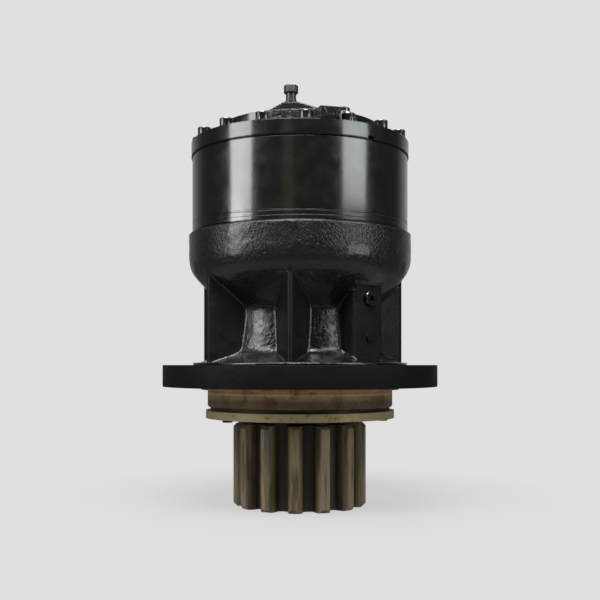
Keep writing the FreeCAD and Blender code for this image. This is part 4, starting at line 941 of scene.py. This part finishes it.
class Repeater:
    """Geometry Nodes trees that repeat a shape round the axis."""

    DRILL_SIDES = 48
    UNDERSIDE = -0.00005

    @staticmethod
    def tree(name: str, inputs: dict[str, tuple[str, Any]]) -> tuple[Any, ...]:
        """Start a tree with a geometry input and named inputs.

        Args:
            name: The tree's name.
            inputs: Name of each input against its socket type and default.

        Returns:
            The tree, its graph, its input node's outputs and its output node's inputs.
        """
        tree = bpy.data.node_groups.new(name, "GeometryNodeTree")
        tree.interface.new_socket("Geometry", in_out="INPUT", socket_type="NodeSocketGeometry")
        for label, (kind, value) in inputs.items():
            socket = tree.interface.new_socket(label, in_out="INPUT", socket_type=kind)
            if value is not None:
                socket.default_value = value
        tree.interface.new_socket("Geometry", in_out="OUTPUT", socket_type="NodeSocketGeometry")
        graph = Graph(tree)
        return tree, graph, graph.add("NodeGroupInput").outputs, graph.add("NodeGroupOutput").inputs

    @staticmethod
    def on_circle(graph: Graph, given: Any, shape: Socket) -> Socket:
        """Set copies of a shape on a circle round the axis.

        Args:
            graph: The tree's graph.
            given: The tree's inputs, with Count, Circle, Start and Level.
            shape: The geometry to copy.

        Returns:
            The copies, as instances.
        """
        ring = graph.add("GeometryNodeMeshCircle", Vertices=given["Count"], Radius=given["Circle"])
        spin = graph.add("ShaderNodeCombineXYZ", Z=given["Start"])
        lift = graph.add("ShaderNodeCombineXYZ", Z=given["Level"])
        placed = graph.add(
            "GeometryNodeTransform",
            Geometry=ring.outputs[0],
            Rotation=spin.outputs[0],
            Translation=lift.outputs[0],
        )
        step = graph.maths("DIVIDE", math.tau, given["Count"])
        order = graph.add("GeometryNodeInputIndex").outputs[0]
        facing = graph.add("ShaderNodeCombineXYZ", Z=graph.maths("MULTIPLY_ADD", order, step, given["Start"]))
        rotation = graph.add("FunctionNodeEulerToRotation", i0=facing.outputs[0])
        copies = graph.add(
            "GeometryNodeInstanceOnPoints",
            Points=placed.outputs[0],
            Instance=shape,
            Rotation=rotation.outputs[0],
        )
        return copies.outputs[0]

    @staticmethod
    def finish_tree(graph: Graph, given: Any, result: Any, shape: Socket) -> Socket:
        """End a tree in Realize Instances and Set Material.

        Args:
            graph: The tree's graph.
            given: The tree's inputs, with Material.
            result: The tree's outputs.
            shape: The geometry to end with.

        Returns:
            The dressed geometry.
        """
        real = graph.add("GeometryNodeRealizeInstances", i0=shape)
        dressed = graph.add("GeometryNodeSetMaterial", Geometry=real.outputs[0], Material=given["Material"])
        graph.feed(result[0], dressed.outputs[0])
        return dressed.outputs[0]

    @staticmethod
    @cache
    def ring_tree() -> Tree:
        """Tree that sets copies of the incoming shape round the axis."""
        inputs = {
            "Count": ("NodeSocketInt", 8),
            "Circle": ("NodeSocketFloat", 0.1),
            "Start": ("NodeSocketFloat", 0.0),
            "Level": ("NodeSocketFloat", 0.0),
            "Material": ("NodeSocketMaterial", None),
        }
        tree, graph, given, result = Repeater.tree("ring_of_copies", inputs)
        Repeater.finish_tree(graph, given, result, Repeater.on_circle(graph, given, given["Geometry"]))
        return tree

    @staticmethod
    @cache
    def knurl_tree() -> Tree:
        """Tree that sinks a diamond pattern into the points outside a radius."""
        inputs = {
            "Count": ("NodeSocketInt", 24),
            "Rise": ("NodeSocketFloat", 1400.0),
            "Depth": ("NodeSocketFloat", 0.0004),
            "Radius": ("NodeSocketFloat", 0.008),
            "Material": ("NodeSocketMaterial", None),
        }
        tree, graph, given, result = Repeater.tree("diamond_knurl", inputs)
        place = graph.add("GeometryNodeInputPosition").outputs[0]
        flat = graph.flatten(place)
        outward = graph.add("ShaderNodeVectorMath", {"operation": "NORMALIZE"}, i0=flat)
        apart = graph.add("ShaderNodeSeparateXYZ", Vector=place).outputs
        turn = graph.maths("ARCTAN2", apart[1], apart[0])
        around = graph.maths("MULTIPLY", turn, graph.maths("MULTIPLY", given["Count"], 0.5))
        upward = graph.maths("MULTIPLY", apart[2], given["Rise"])
        rising = graph.maths("ABSOLUTE", graph.maths("SINE", graph.maths("ADD", around, upward)))
        falling = graph.maths("ABSOLUTE", graph.maths("SINE", graph.maths("SUBTRACT", around, upward)))
        valley = graph.maths("SUBTRACT", graph.maths("MINIMUM", rising, falling), 1.0)
        offset = graph.add("ShaderNodeVectorMath", {"operation": "SCALE"}, i0=outward.outputs[0])
        graph.feed(offset.inputs["Scale"], graph.maths("MULTIPLY", valley, given["Depth"]))
        moved = graph.add(
            "GeometryNodeSetPosition",
            Geometry=given["Geometry"],
            Selection=graph.maths("GREATER_THAN", graph.length(flat), given["Radius"]),
            Offset=offset.outputs[0],
        )
        Repeater.finish_tree(graph, given, result, moved.outputs[0])
        return tree

    @staticmethod
    @cache
    def drill_tree() -> Tree:
        """Tree that drills a ring of upright holes and dresses what lies below level 0 apart."""
        inputs = {
            "Count": ("NodeSocketInt", 12),
            "Circle": ("NodeSocketFloat", 0.1),
            "Start": ("NodeSocketFloat", 0.0),
            "Level": ("NodeSocketFloat", 0.0),
            "Hole Radius": ("NodeSocketFloat", 0.01),
            "Hole Length": ("NodeSocketFloat", 0.05),
            "Material": ("NodeSocketMaterial", None),
            "Lower Material": ("NodeSocketMaterial", None),
        }
        tree, graph, given, result = Repeater.tree("ring_of_holes", inputs)
        drill = graph.add(
            "GeometryNodeMeshCylinder",
            Vertices=Repeater.DRILL_SIDES,
            Radius=given["Hole Radius"],
            Depth=given["Hole Length"],
        )
        drills = Repeater.on_circle(graph, given, drill.outputs[0])
        tools = graph.add("GeometryNodeRealizeInstances", i0=drills)
        cut = graph.add("GeometryNodeMeshBoolean", {"operation": "DIFFERENCE"})
        graph.feed(cut.inputs["Mesh 1"], given["Geometry"])
        graph.feed(cut.inputs["Mesh 2"], tools.outputs[0])
        dressed = Repeater.finish_tree(graph, given, result, cut.outputs[0])
        height = graph.height(graph.add("GeometryNodeInputPosition").outputs[0])
        lower = graph.add(
            "GeometryNodeSetMaterial",
            Geometry=dressed,
            Selection=graph.maths("LESS_THAN", height, Repeater.UNDERSIDE),
            Material=given["Lower Material"],
        )
        graph.feed(result[0], lower.outputs[0])
        return tree

    @staticmethod
    def apply(piece: Piece, tree: Tree, values: dict[str, Any], sharp: float = OBJECT_SHARP) -> Piece:
        """Run a tree on a piece and keep the result as its plain mesh.

        Args:
            piece: The object whose mesh goes in.
            tree: The Geometry Nodes tree.
            values: The tree's inputs by name.
            sharp: Edges turning by more than this many degrees stay sharp.

        Returns:
            The piece, with its modifier removed.
        """
        modifier = piece.modifiers.new("nodes", "NODES")
        modifier.node_group = tree
        for item in tree.interface.items_tree:
            if item.item_type == "SOCKET" and item.in_out == "INPUT" and item.name in values:
                modifier[item.identifier] = values[item.name]
        graph = bpy.context.evaluated_depsgraph_get()
        made = bpy.data.meshes.new_from_object(piece.evaluated_get(graph), depsgraph=graph)
        piece.modifiers.remove(modifier)
        piece.data = made
        made.shade_smooth()
        made.set_sharp_from_angle(angle=math.radians(sharp))
        return piece


@dataclass(frozen=True)
class Ribs:
    """Wedge ribs of the neck: a narrow upright edge with flanks that open inwards."""

    angles: tuple[float, ...] = (97.86, 149.29, 200.71, 252.14, 303.57, 355.0)
    radius: float = 133.0
    half_edge: float = 2.0
    slope: float = 19.0 / 43.0
    rounding: float = 1.2
    fillet: float = 3.6
    foot_top: float = 44.0
    foot_height: float = 14.0
    foot_share: float = 0.5
    calm_from: float = 2.2


@dataclass(frozen=True)
class PortBoss:
    """Square boss of the two ports, with a brow that falls back to the neck."""

    angle: float = 44.0
    face: float = 118.0
    half: float = 22.5
    top: float = 123.0
    brow: float = 2.0
    brow_height: float = 11.0
    brow_margin: float = 6.0
    slope: float = 13.0 / 11.0
    draft: float = 0.03
    rounding: float = 1.0
    fillet: float = 3.0
    calm_from: float = 1.2


@dataclass(frozen=True)
class Lumps:
    """Unevenness of the casting: pitch in waves a millimetre against height."""

    wide: Pair = (0.055, 0.42)
    close: Pair = (0.19, 0.16)
    fade_top: float = 4.0
    fade_foot: float = 3.0

    def at(self, spot: Vector) -> float:
        """Offset of the surface at a spot, in millimetres."""
        return sum(height * noise.noise(spot * pitch) for pitch, height in (self.wide, self.close))


@dataclass(frozen=True)
class Housing:
    """Lower housing: the cast skin of neck, ribs, funnel and bulge, and the machined flange."""

    columns: int = 480
    row_step: float = 1.3
    foot: float = 30.0
    foot_limit: float = 134.6
    foot_shares: tuple[float, ...] = (0.25, 0.5, 0.75, 0.9)
    foot_lift: float = 0.05
    top: float = 190.7
    outer: float = 141.0
    step: Profile = ((74.0, 27.0), (135.2, 27.0), (136.0, 27.6), (136.0, 29.3), (135.3, 30.0))
    rim: Profile = ((0.35, 0.3), (0.9, 0.0))
    bores: Profile = (
        (118.6, 190.7), (118.0, 190.1), (118.0, 143.5), (80.02, 105.5), (80.02, 65.0), (74.0, 65.0),
    )
    neck: Profile = (
        (30.0, 129.0), (34.0, 117.5), (37.5, 108.0), (41.0, 101.4), (46.0, 98.4), (75.0, 95.4),
        (92.0, 94.2), (98.0, 95.4), (106.0, 101.6), (118.0, 113.6), (128.0, 124.0),
        (136.0, 131.4), (144.0, 136.8), (152.0, 139.8), (160.0, 140.9), (196.0, 141.0),
    )
    soften: float = 4.0
    soften_step: float = 0.25
    soften_margin: float = 20.0
    ribs: Ribs = Ribs()
    boss: PortBoss = PortBoss()
    lumps: Lumps = Lumps()
    near: float = 1.0
    calm_over: float = 1.5
    calm_share: float = 0.5
    cast_sharp: float = 50.0
    flat_faces: int = 1
    flange_profile: Profile = (
        (74.0, 27.0), (174.0, 27.0), (174.0, 0.0), (126.0, 0.0), (126.0, -4.0), (117.5, -4.0),
        (117.5, -24.0), (115.5, -26.0), (90.02, -26.0), (90.02, 22.0), (74.0, 22.0),
    )
    flange_rounding: float = 0.9
    flange_columns: int = 256
    hole_count: int = 12
    hole_circle: float = 152.5
    hole_angle: float = 10.0
    hole_level: float = 13.5
    hole_radius: float = 11.0
    hole_length: float = 60.0

    @staticmethod
    def smooth_max(first: Any, second: Any, width: float) -> Any:
        """Union of two radii with a fillet of a width."""
        share = np.clip(0.5 + 0.5 * (first - second) / width, 0.0, 1.0)
        return second + (first - second) * share + width * share * (1.0 - share)

    def neck_radius(self, levels: np.ndarray) -> np.ndarray:
        """Smoothed radius of the casting between its ribs.

        Args:
            levels: Heights in millimetres.

        Returns:
            The radius at each height.
        """
        fine = np.arange(self.foot - self.soften_margin, self.top + self.soften_margin, self.soften_step)
        raw = np.interp(fine, *zip(*self.neck))
        reach = int(self.soften / self.soften_step)
        weights = np.hanning(2 * reach + 1)
        smooth = np.convolve(np.pad(raw, reach, mode="edge"), weights / weights.sum(), mode="valid")
        return np.interp(levels, fine, smooth)

    def wedge(
        self, turns: np.ndarray, angle: float, face: Any, root: Any, slope: float, rounding: float
    ) -> tuple[np.ndarray, np.ndarray]:
        """Radius of a form with a flat face and two flanks that open inwards.

        Args:
            turns: Angles from the front in degrees, one a column.
            angle: The form's own angle.
            face: Distance of its face from the axis.
            root: Half width that its flanks would have at the axis.
            slope: Half width lost for each millimetre outwards.
            rounding: Rounding between face and flanks.

        Returns:
            The radii, and where they hold.
        """
        apart = np.radians((turns - angle + 180.0) % 360.0 - 180.0)[None, :]
        held = np.abs(apart) < self.near
        bend = np.where(held, apart, 1.0)
        side = root / (np.sin(np.abs(bend)) + slope * np.cos(bend))
        return -self.smooth_max(-face / np.cos(bend), -side, rounding), held

    def calm(self, form: np.ndarray, body: np.ndarray, start: float) -> np.ndarray:
        """Where a form stands clear of the body, from 0 to 1."""
        return np.clip((form - body - start) / self.calm_over, 0.0, 1.0)

    def skin(self, levels: np.ndarray, turns: np.ndarray) -> tuple[np.ndarray, np.ndarray]:
        """Radius of the cast surface over levels and turns.

        Args:
            levels: Heights in millimetres, one a row.
            turns: Angles from the front in degrees, one a column.

        Returns:
            The radii, and where the smoother ribs and port boss are, from 0 to 1.
        """
        ribs, boss = self.ribs, self.boss
        level = levels[:, None]
        body = np.broadcast_to(self.neck_radius(levels)[:, None], (len(levels), len(turns))).copy()
        flat = np.zeros_like(body)
        foot = np.clip((ribs.foot_top - level) / ribs.foot_height, 0.0, 1.0)
        fillet = ribs.fillet * (1.0 + ribs.foot_share * foot)
        root = ribs.half_edge + ribs.radius * ribs.slope
        for angle in ribs.angles:
            rib, held = self.wedge(turns, angle, ribs.radius, root, ribs.slope, ribs.rounding)
            rib = np.where(held, rib, 0.0)
            flat = np.maximum(flat, self.calm(rib, body, ribs.calm_from))
            body = self.smooth_max(body, rib, fillet)
        over = np.clip(level - boss.top, 0.0, None)
        brow = np.where(over > 0.0, boss.brow, 0.0)
        face = boss.face + brow - over * boss.slope
        root = boss.half + brow + boss.face * boss.draft
        form, held = self.wedge(turns, boss.angle, face, root, boss.draft, boss.rounding)
        form = np.where(held & (over < boss.brow_height + boss.brow_margin), form, 0.0)
        flat = np.maximum(flat, self.calm(form, body, boss.calm_from))
        return self.smooth_max(body, form, boss.fillet), flat

    def uneven(self, radii: np.ndarray, levels: np.ndarray, turns: np.ndarray, flat: np.ndarray) -> np.ndarray:
        """Uneven casting surface; flat places stay true.

        Args:
            radii: The smooth skin in millimetres, levels by turns.
            levels: Height of each row.
            turns: Angle of each column.
            flat: The flat places, from 0 to 1.

        Returns:
            Offsets of the radii.
        """
        made = np.zeros_like(radii)
        for row, level in enumerate(levels):
            to_top = (self.top - level) / self.lumps.fade_top
            to_foot = (level - self.foot) / self.lumps.fade_foot
            edge = min(1.0, to_top, to_foot)
            if edge <= 0.0:
                continue
            for column, turn in enumerate(turns):
                if flat[row, column] > self.calm_share:
                    continue
                x_way, y_way = from_front(float(turn))
                radius = float(radii[row, column])
                spot = Vector((radius * x_way, radius * y_way, float(level)))
                made[row, column] = self.lumps.at(spot) * edge * (1.0 - flat[row, column])
        return made

    def casting(self) -> Piece:
        """Build the closed cast piece: skin outside, machined bores inside."""
        turns = np.arange(self.columns) * 360.0 / self.columns
        end = self.top - self.rim[-1][0]
        count = int((end - self.foot) / self.row_step)
        levels = np.linspace(self.foot, end, count)
        radii, flat = self.skin(levels, turns)
        radii = np.minimum(radii + self.uneven(radii, levels, turns, flat), self.outer)
        rows = [(np.full(self.columns, radius), level) for radius, level in self.step]
        shelf = self.step[-1][0]
        foot = np.minimum(radii[0], self.foot_limit)
        rows += [(shelf + (foot - shelf) * share, self.foot) for share in self.foot_shares]
        rows.append((foot, self.foot + self.foot_lift))
        foot_rows = len(rows) - 1
        rows += [(radii[index], levels[index]) for index in range(1, count)]
        rows += [(radii[-1] - inset, self.top - drop) for inset, drop in self.rim]
        rows += [(np.full(self.columns, radius), level) for radius, level in self.bores]
        x_way = np.sin(np.radians(turns))
        y_way = -np.cos(np.radians(turns))
        points = []
        for radius, level in rows:
            height = np.full(self.columns, level * MM)
            points.append(np.stack([radius * x_way * MM, radius * y_way * MM, height], axis=1))
        faces = grid_faces(len(rows), self.columns)
        piece = link_mesh("housing_casting", np.concatenate(points), faces, self.cast_sharp)
        piece.data.materials.append(CAST_SKIN.build())
        piece.data.materials.append(FLAT_FACES.build())
        for index, polygon in enumerate(piece.data.polygons):
            row, column = divmod(index, self.columns)
            row -= foot_rows
            if 0 <= row < count and flat[row, column] > self.calm_share:
                polygon.material_index = self.flat_faces
        return piece

    def flange(self) -> Piece:
        """Build the machined flange and spigot, with its bolt holes."""
        profile = rounded(self.flange_profile, self.flange_rounding)
        values = {
            "Count": self.hole_count,
            "Circle": self.hole_circle * MM,
            "Start": math.radians(self.hole_angle - 90.0),
            "Level": self.hole_level * MM,
            "Hole Radius": self.hole_radius * MM,
            "Hole Length": self.hole_length * MM,
            "Material": FLANGE_PAINT.build(),
            "Lower Material": SPIGOT_VARNISH.build(),
        }
        piece = lathe("housing_flange", profile, self.flange_columns)
        return Repeater.apply(piece, Repeater.drill_tree(), values)

    def build(self) -> None:
        """Make both pieces and put them on the frame."""
        for piece in (self.casting(), self.flange()):
            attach(piece, "root")
            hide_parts("gear_housing")
            LOG.info("%s: %d faces", piece.name, len(piece.data.polygons))


@dataclass(frozen=True)
class SocketScrew:
    """Socket head screw with a knurled head; its head stands on level 0."""

    head_radius: float
    head_height: float
    shank_radius: float
    length: float
    hex_radius: float
    hex_depth: float
    tip: float = 0.8
    lip: float = 0.4
    rounding: float = 0.9
    chamfer: float = 0.3
    knurl: float = 0.22
    columns: int = 48
    sharp: float = 30.0

    def hexagon(self, radius: float) -> list[float]:
        """Radii of a hexagon, column by column.

        Args:
            radius: Its corners' radius.

        Returns:
            One radius a column.
        """
        across = radius * math.cos(math.pi / 6.0)
        turns = ((360.0 * column / self.columns) % 60.0 - 30.0 for column in range(self.columns))
        return [across / math.cos(math.radians(turn)) for turn in turns]

    def master(self, name: str, way: float = 1.0) -> Piece:
        """Build one screw on the axis.

        Args:
            name: The piece's name.
            way: 1 for head up, -1 for head down.

        Returns:
            The screw, whose mesh the tree repeats.
        """
        head, height, shank, end = self.head_radius, self.head_height, self.shank_radius, -self.length
        soft, small = self.rounding, self.chamfer
        rough = [head - self.knurl * (column % 2) for column in range(self.columns)]
        socket = self.hexagon(self.hex_radius)
        floor = height - self.hex_depth
        rows = [
            (0.0, end), (shank - self.tip, end), (shank, end + self.tip), (shank, 0.0),
            (head - self.lip, 0.0), (rough, self.lip), (rough, height - soft - 2 * small),
            (head, height - soft - small), (head - soft * small, height - soft * small),
            (head - soft, height), (self.hexagon(self.hex_radius + small), height),
            (socket, height - small), (socket, floor), (0.0, floor),
        ]
        points = []
        for radii, level in rows:
            if isinstance(radii, float):
                radii = [radii] * self.columns
            for column, radius in enumerate(radii):
                x_way, y_way = from_front(360.0 * column / self.columns)
                points.append((radius * x_way * MM, way * radius * y_way * MM, way * level * MM))
        quads = grid_faces(len(rows), self.columns)
        faces = [face for face in quads if max(face) - min(face) < self.columns * 2]
        return link_mesh(name, points, faces, self.sharp)


@dataclass(frozen=True)
class ScrewRing:
    """Where a ring of screws stands."""

    count: int
    circle: float
    start: float
    level: float

    def inputs(self, finish: Finish) -> dict[str, Any]:
        """Inputs of the tree that repeats the screw.

        Args:
            finish: What the screws wear.

        Returns:
            Each input's value by name.
        """
        return {
            "Count": self.count,
            "Circle": self.circle * MM,
            "Start": math.radians(self.start - 90.0),
            "Level": self.level * MM,
            "Material": finish.build(),
        }


@dataclass(frozen=True)
class BreatherCap:
    """Knurled cap of the breather; crown and foot give inset and distance from its ends."""

    angle: float = -6.7
    circle: float = 90.7
    radius: float = 8.5
    bottom: float = 347.3
    top: float = 356.7
    recess: float = 5.0
    bore: float = 6.05
    side_from: float = 0.7
    side_less: float = 2.4
    side_rows: int = 24
    crown: Profile = ((0.45, 0.8), (1.3, 0.2), (2.4, 0.0))
    foot: Profile = ((0.6, 0.0), (0.1, 0.3))
    columns: int = 144
    ridges: int = 24
    rise: float = 1400.0
    knurl_depth: float = 0.4
    knurl_within: float = 0.2

    def build(self) -> Piece:
        """Turn a fine lathe whose rim a node tree knurls, and move it to its place."""
        radius, low, high = self.radius, self.bottom, self.top
        run = high - low - self.side_less
        shares = [row / self.side_rows for row in range(self.side_rows + 1)]
        side = [(radius, low + self.side_from + run * share) for share in shares]
        crown = [(radius - inset, high - drop) for inset, drop in self.crown]
        hollow = [(0.0, high), (0.0, low + self.recess), (self.bore, low + self.recess), (self.bore, low)]
        foot = [(radius - inset, low + lift) for inset, lift in self.foot]
        piece = lathe("breather_cap_knurled", side + crown + hollow + foot, self.columns)
        values = {
            "Count": self.ridges,
            "Rise": self.rise,
            "Depth": self.knurl_depth * MM,
            "Radius": (radius - self.knurl_within) * MM,
            "Material": BREATHER_PAINT.build(),
        }
        Repeater.apply(piece, Repeater.knurl_tree(), values)
        x_way, y_way = from_front(self.angle)
        reach = self.circle * MM
        piece.data.transform(Matrix.Translation((reach * x_way, reach * y_way, 0.0)))
        return piece


@dataclass(frozen=True)
class Fasteners:
    """Screws of the cover and the plate, and the knurled breather cap."""

    cover_screw: SocketScrew = SocketScrew(8.0, 10.0, 5.0, 135.3, 4.6, 5.0)
    cover_ring: ScrewRing = ScrewRing(16, 129.0, 3.0, 306.0)
    plate_screw: SocketScrew = SocketScrew(6.5, 8.0, 4.0, 26.4, 3.25, 4.0)
    plate_ring: ScrewRing = ScrewRing(8, 105.5, 33.5, -34.9)
    cap: BreatherCap = BreatherCap()

    def build(self) -> None:
        """Make each ring of screws and the breather cap."""
        cover = self.cover_screw.master("cover_screw_ring")
        values = self.cover_ring.inputs(BY_SLOT[Slot.SCREW])
        Repeater.apply(cover, Repeater.ring_tree(), values, self.cover_screw.sharp)
        self.seat(cover, "cover_screws", Slot.SCREW)
        plate = self.plate_screw.master("plate_screw_ring", -1.0)
        values = self.plate_ring.inputs(BY_SLOT[Slot.PLATE_SCREW])
        Repeater.apply(plate, Repeater.ring_tree(), values, self.plate_screw.sharp)
        self.seat(plate, "plate_screws", Slot.PLATE_SCREW)
        self.seat(self.cap.build(), "breather_cap", Slot.BREATHER)

    @staticmethod
    def seat(piece: Piece, node: str, slot: Slot) -> None:
        """Put a piece on the fixed body in place of a CAD node.

        Args:
            piece: The piece.
            node: The node that it stands for.
            slot: The node's material slot; not used.
        """
        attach(piece, "root")
        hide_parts(node)
        LOG.info("%s stands for %s", piece.name, node)


@dataclass(frozen=True)
class Lamp:
    """Area lamp that faces the gearbox's middle."""

    name: str
    angle: float
    height: float
    size: Pair
    power: float
    colour: Colour
    reach: float = 1.3
    aim: float = 0.14

    def build(self) -> None:
        """Hang the lamp."""
        data = bpy.data.lights.new(self.name, "AREA")
        data.shape = "RECTANGLE"
        data.size, data.size_y = self.size
        data.energy = self.power
        data.color = self.colour
        lamp = bpy.data.objects.new(self.name, data)
        bpy.context.scene.collection.objects.link(lamp)
        x_way, y_way = from_front(self.angle)
        lamp.location = (self.reach * x_way, self.reach * y_way, self.height)
        aim = Vector((0.0, 0.0, self.aim)) - lamp.location
        lamp.rotation_mode = "QUATERNION"
        lamp.rotation_quaternion = aim.to_track_quat("-Z", "Y")


COOL = (0.95, 1.0, 1.0)
COOLER = (0.92, 0.98, 1.0)


@dataclass(frozen=True)
class Studio:
    """Plain pale floor, world, camera and six lamps.

    A tall and a low lamp stand at each side, one hangs above and one behind. The
    floor and the world look pale to the camera and plainer and darker in gloss.
    """

    pale: float = 0.745
    floor_half: float = 6.0
    floor_level: float = -0.1505
    floor_tone: float = 0.31
    shade_reach: Pair = (0.16, 0.46)
    shade_share: float = 0.74
    gloss_reach: Pair = (0.4, 0.6)
    gloss_near: Colour = (0.44, 0.42, 0.52)
    gloss_far: float = 0.1
    sky_light: float = 0.3
    sky_sides: Pair = (0.3, 0.42)
    sky_side_reach: Pair = (-0.5, 0.5)
    sky_front: Colour = (0.038, 0.041, 0.04)
    sky_front_reach: Pair = (0.45, 0.98)
    strip: Colour = (0.26, 0.22, 0.16)
    strip_at: float = -0.2
    strip_halves: Pair = (0.02, 0.14)
    lamps: tuple[Lamp, ...] = (
        Lamp("left_lamp", -60.5, 0.8, (0.62, 0.9), 11.9, COOL),
        Lamp("low_left_lamp", -65.0, 0.2, (0.36, 0.42), 2.4, COOL),
        Lamp("right_lamp", 55.5, 0.86, (0.68, 0.9), 9.8, COOLER),
        Lamp("low_right_lamp", 58.0, 0.13, (0.46, 0.28), 1.9, COOLER),
        Lamp("top_lamp", -8.0, 1.4, (1.2, 0.6), 52.0, (1.0, 0.95, 0.94), reach=0.9),
        Lamp("back_lamp", 178.0, 1.75, (1.0, 0.7), 16.0, (1.0, 1.0, 1.0)),
    )
    distance: float = 1.144
    eye: float = 0.027
    lens: float = 53.6
    sensor: float = 36.0
    shift: float = 65.0 / 600.0
    clip: float = 0.01

    def floor(self) -> None:
        """Floor that shades near the gearbox and runs out into the plain background."""
        work = bmesh.new()
        bmesh.ops.create_grid(work, x_segments=2, y_segments=2, size=self.floor_half)
        mesh = bpy.data.meshes.new("floor")
        work.to_mesh(mesh)
        work.free()
        ground = bpy.data.objects.new("floor", mesh)
        ground.location = (0.0, 0.0, self.floor_level)
        bpy.context.scene.collection.objects.link(ground)
        material = bpy.data.materials.new("floor")
        material.use_nodes = True
        material.node_tree.nodes.clear()
        graph = Graph(material.node_tree)
        matt = graph.add("ShaderNodeBsdfDiffuse", Color=(self.floor_tone,) * 3)
        reach = graph.length(graph.place())
        path = graph.add("ShaderNodeLightPath")
        close = graph.ramp(reach, *self.gloss_reach, 1.0, 0.0)
        mirrored = graph.mix(close, (self.gloss_far,) * 3, self.gloss_near)
        tone = graph.mix(path.outputs["Is Glossy Ray"], (self.pale,) * 3, mirrored)
        glow = graph.add("ShaderNodeEmission", Color=tone, Strength=1.0)
        spread = graph.ramp(reach, *self.shade_reach, self.shade_share, 1.0)
        seen = graph.maths("MULTIPLY", spread, path.outputs["Is Camera Ray"])
        share = graph.maths("MAXIMUM", seen, path.outputs["Is Glossy Ray"])
        both = graph.add("ShaderNodeMixShader", Fac=share, i1=matt.outputs[0], i2=glow.outputs[0])
        graph.add("ShaderNodeOutputMaterial", Surface=both.outputs[0])
        mesh.materials.append(material)

    def world(self) -> None:
        """World that the camera sees as the pale background, dimmer for light and in front."""
        world = bpy.data.worlds.new("studio")
        bpy.context.scene.world = world
        world.use_nodes = True
        world.node_tree.nodes.clear()
        graph = Graph(world.node_tree)
        place = graph.add("ShaderNodeTexCoord").outputs["Generated"]
        way = graph.add("ShaderNodeSeparateXYZ", Vector=place).outputs
        side = graph.ramp(way[0], *self.sky_side_reach, *self.sky_sides)
        strip = graph.ramp(graph.away(way[0], self.strip_at), *self.strip_halves, 1.0, 0.0)
        front = graph.mix(strip, self.sky_front, self.strip)
        mirrored = graph.mix(graph.ramp(way[1], *self.sky_front_reach), front, side)
        path = graph.add("ShaderNodeLightPath")
        soft = graph.mix(path.outputs["Is Glossy Ray"], (self.sky_light,) * 3, mirrored)
        shade = graph.mix(path.outputs["Is Camera Ray"], soft, (self.pale,) * 3)
        back = graph.add("ShaderNodeBackground", Color=shade, Strength=1.0)
        graph.add("ShaderNodeOutputWorld", Surface=back.outputs[0])

    def camera(self) -> None:
        """Level camera in front, shifted up as the photograph is framed."""
        data = bpy.data.cameras.new("camera")
        data.sensor_width = self.sensor
        data.lens = self.lens
        data.shift_y = self.shift
        data.clip_start = self.clip
        eye = bpy.data.objects.new("camera", data)
        eye.location = (0.0, -self.distance, self.eye)
        eye.rotation_euler = (math.radians(90.0), 0.0, 0.0)
        bpy.context.scene.collection.objects.link(eye)
        bpy.context.scene.camera = eye

    def build(self) -> None:
        """Set up floor, world, lamps and camera."""
        bpy.context.scene.view_settings.view_transform = "Standard"
        self.floor()
        self.world()
        for lamp in self.lamps:
            lamp.build()
        self.camera()
        LOG.info("studio: %d lamps", len(self.lamps))


def main() -> None:
    """Dress the nodes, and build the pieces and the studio."""
    logging.basicConfig(level=logging.INFO, format="%(message)s")
    dress_nodes()
    Housing().build()
    Fasteners().build()
    Studio().build()


if __name__ == "__main__":
    main()
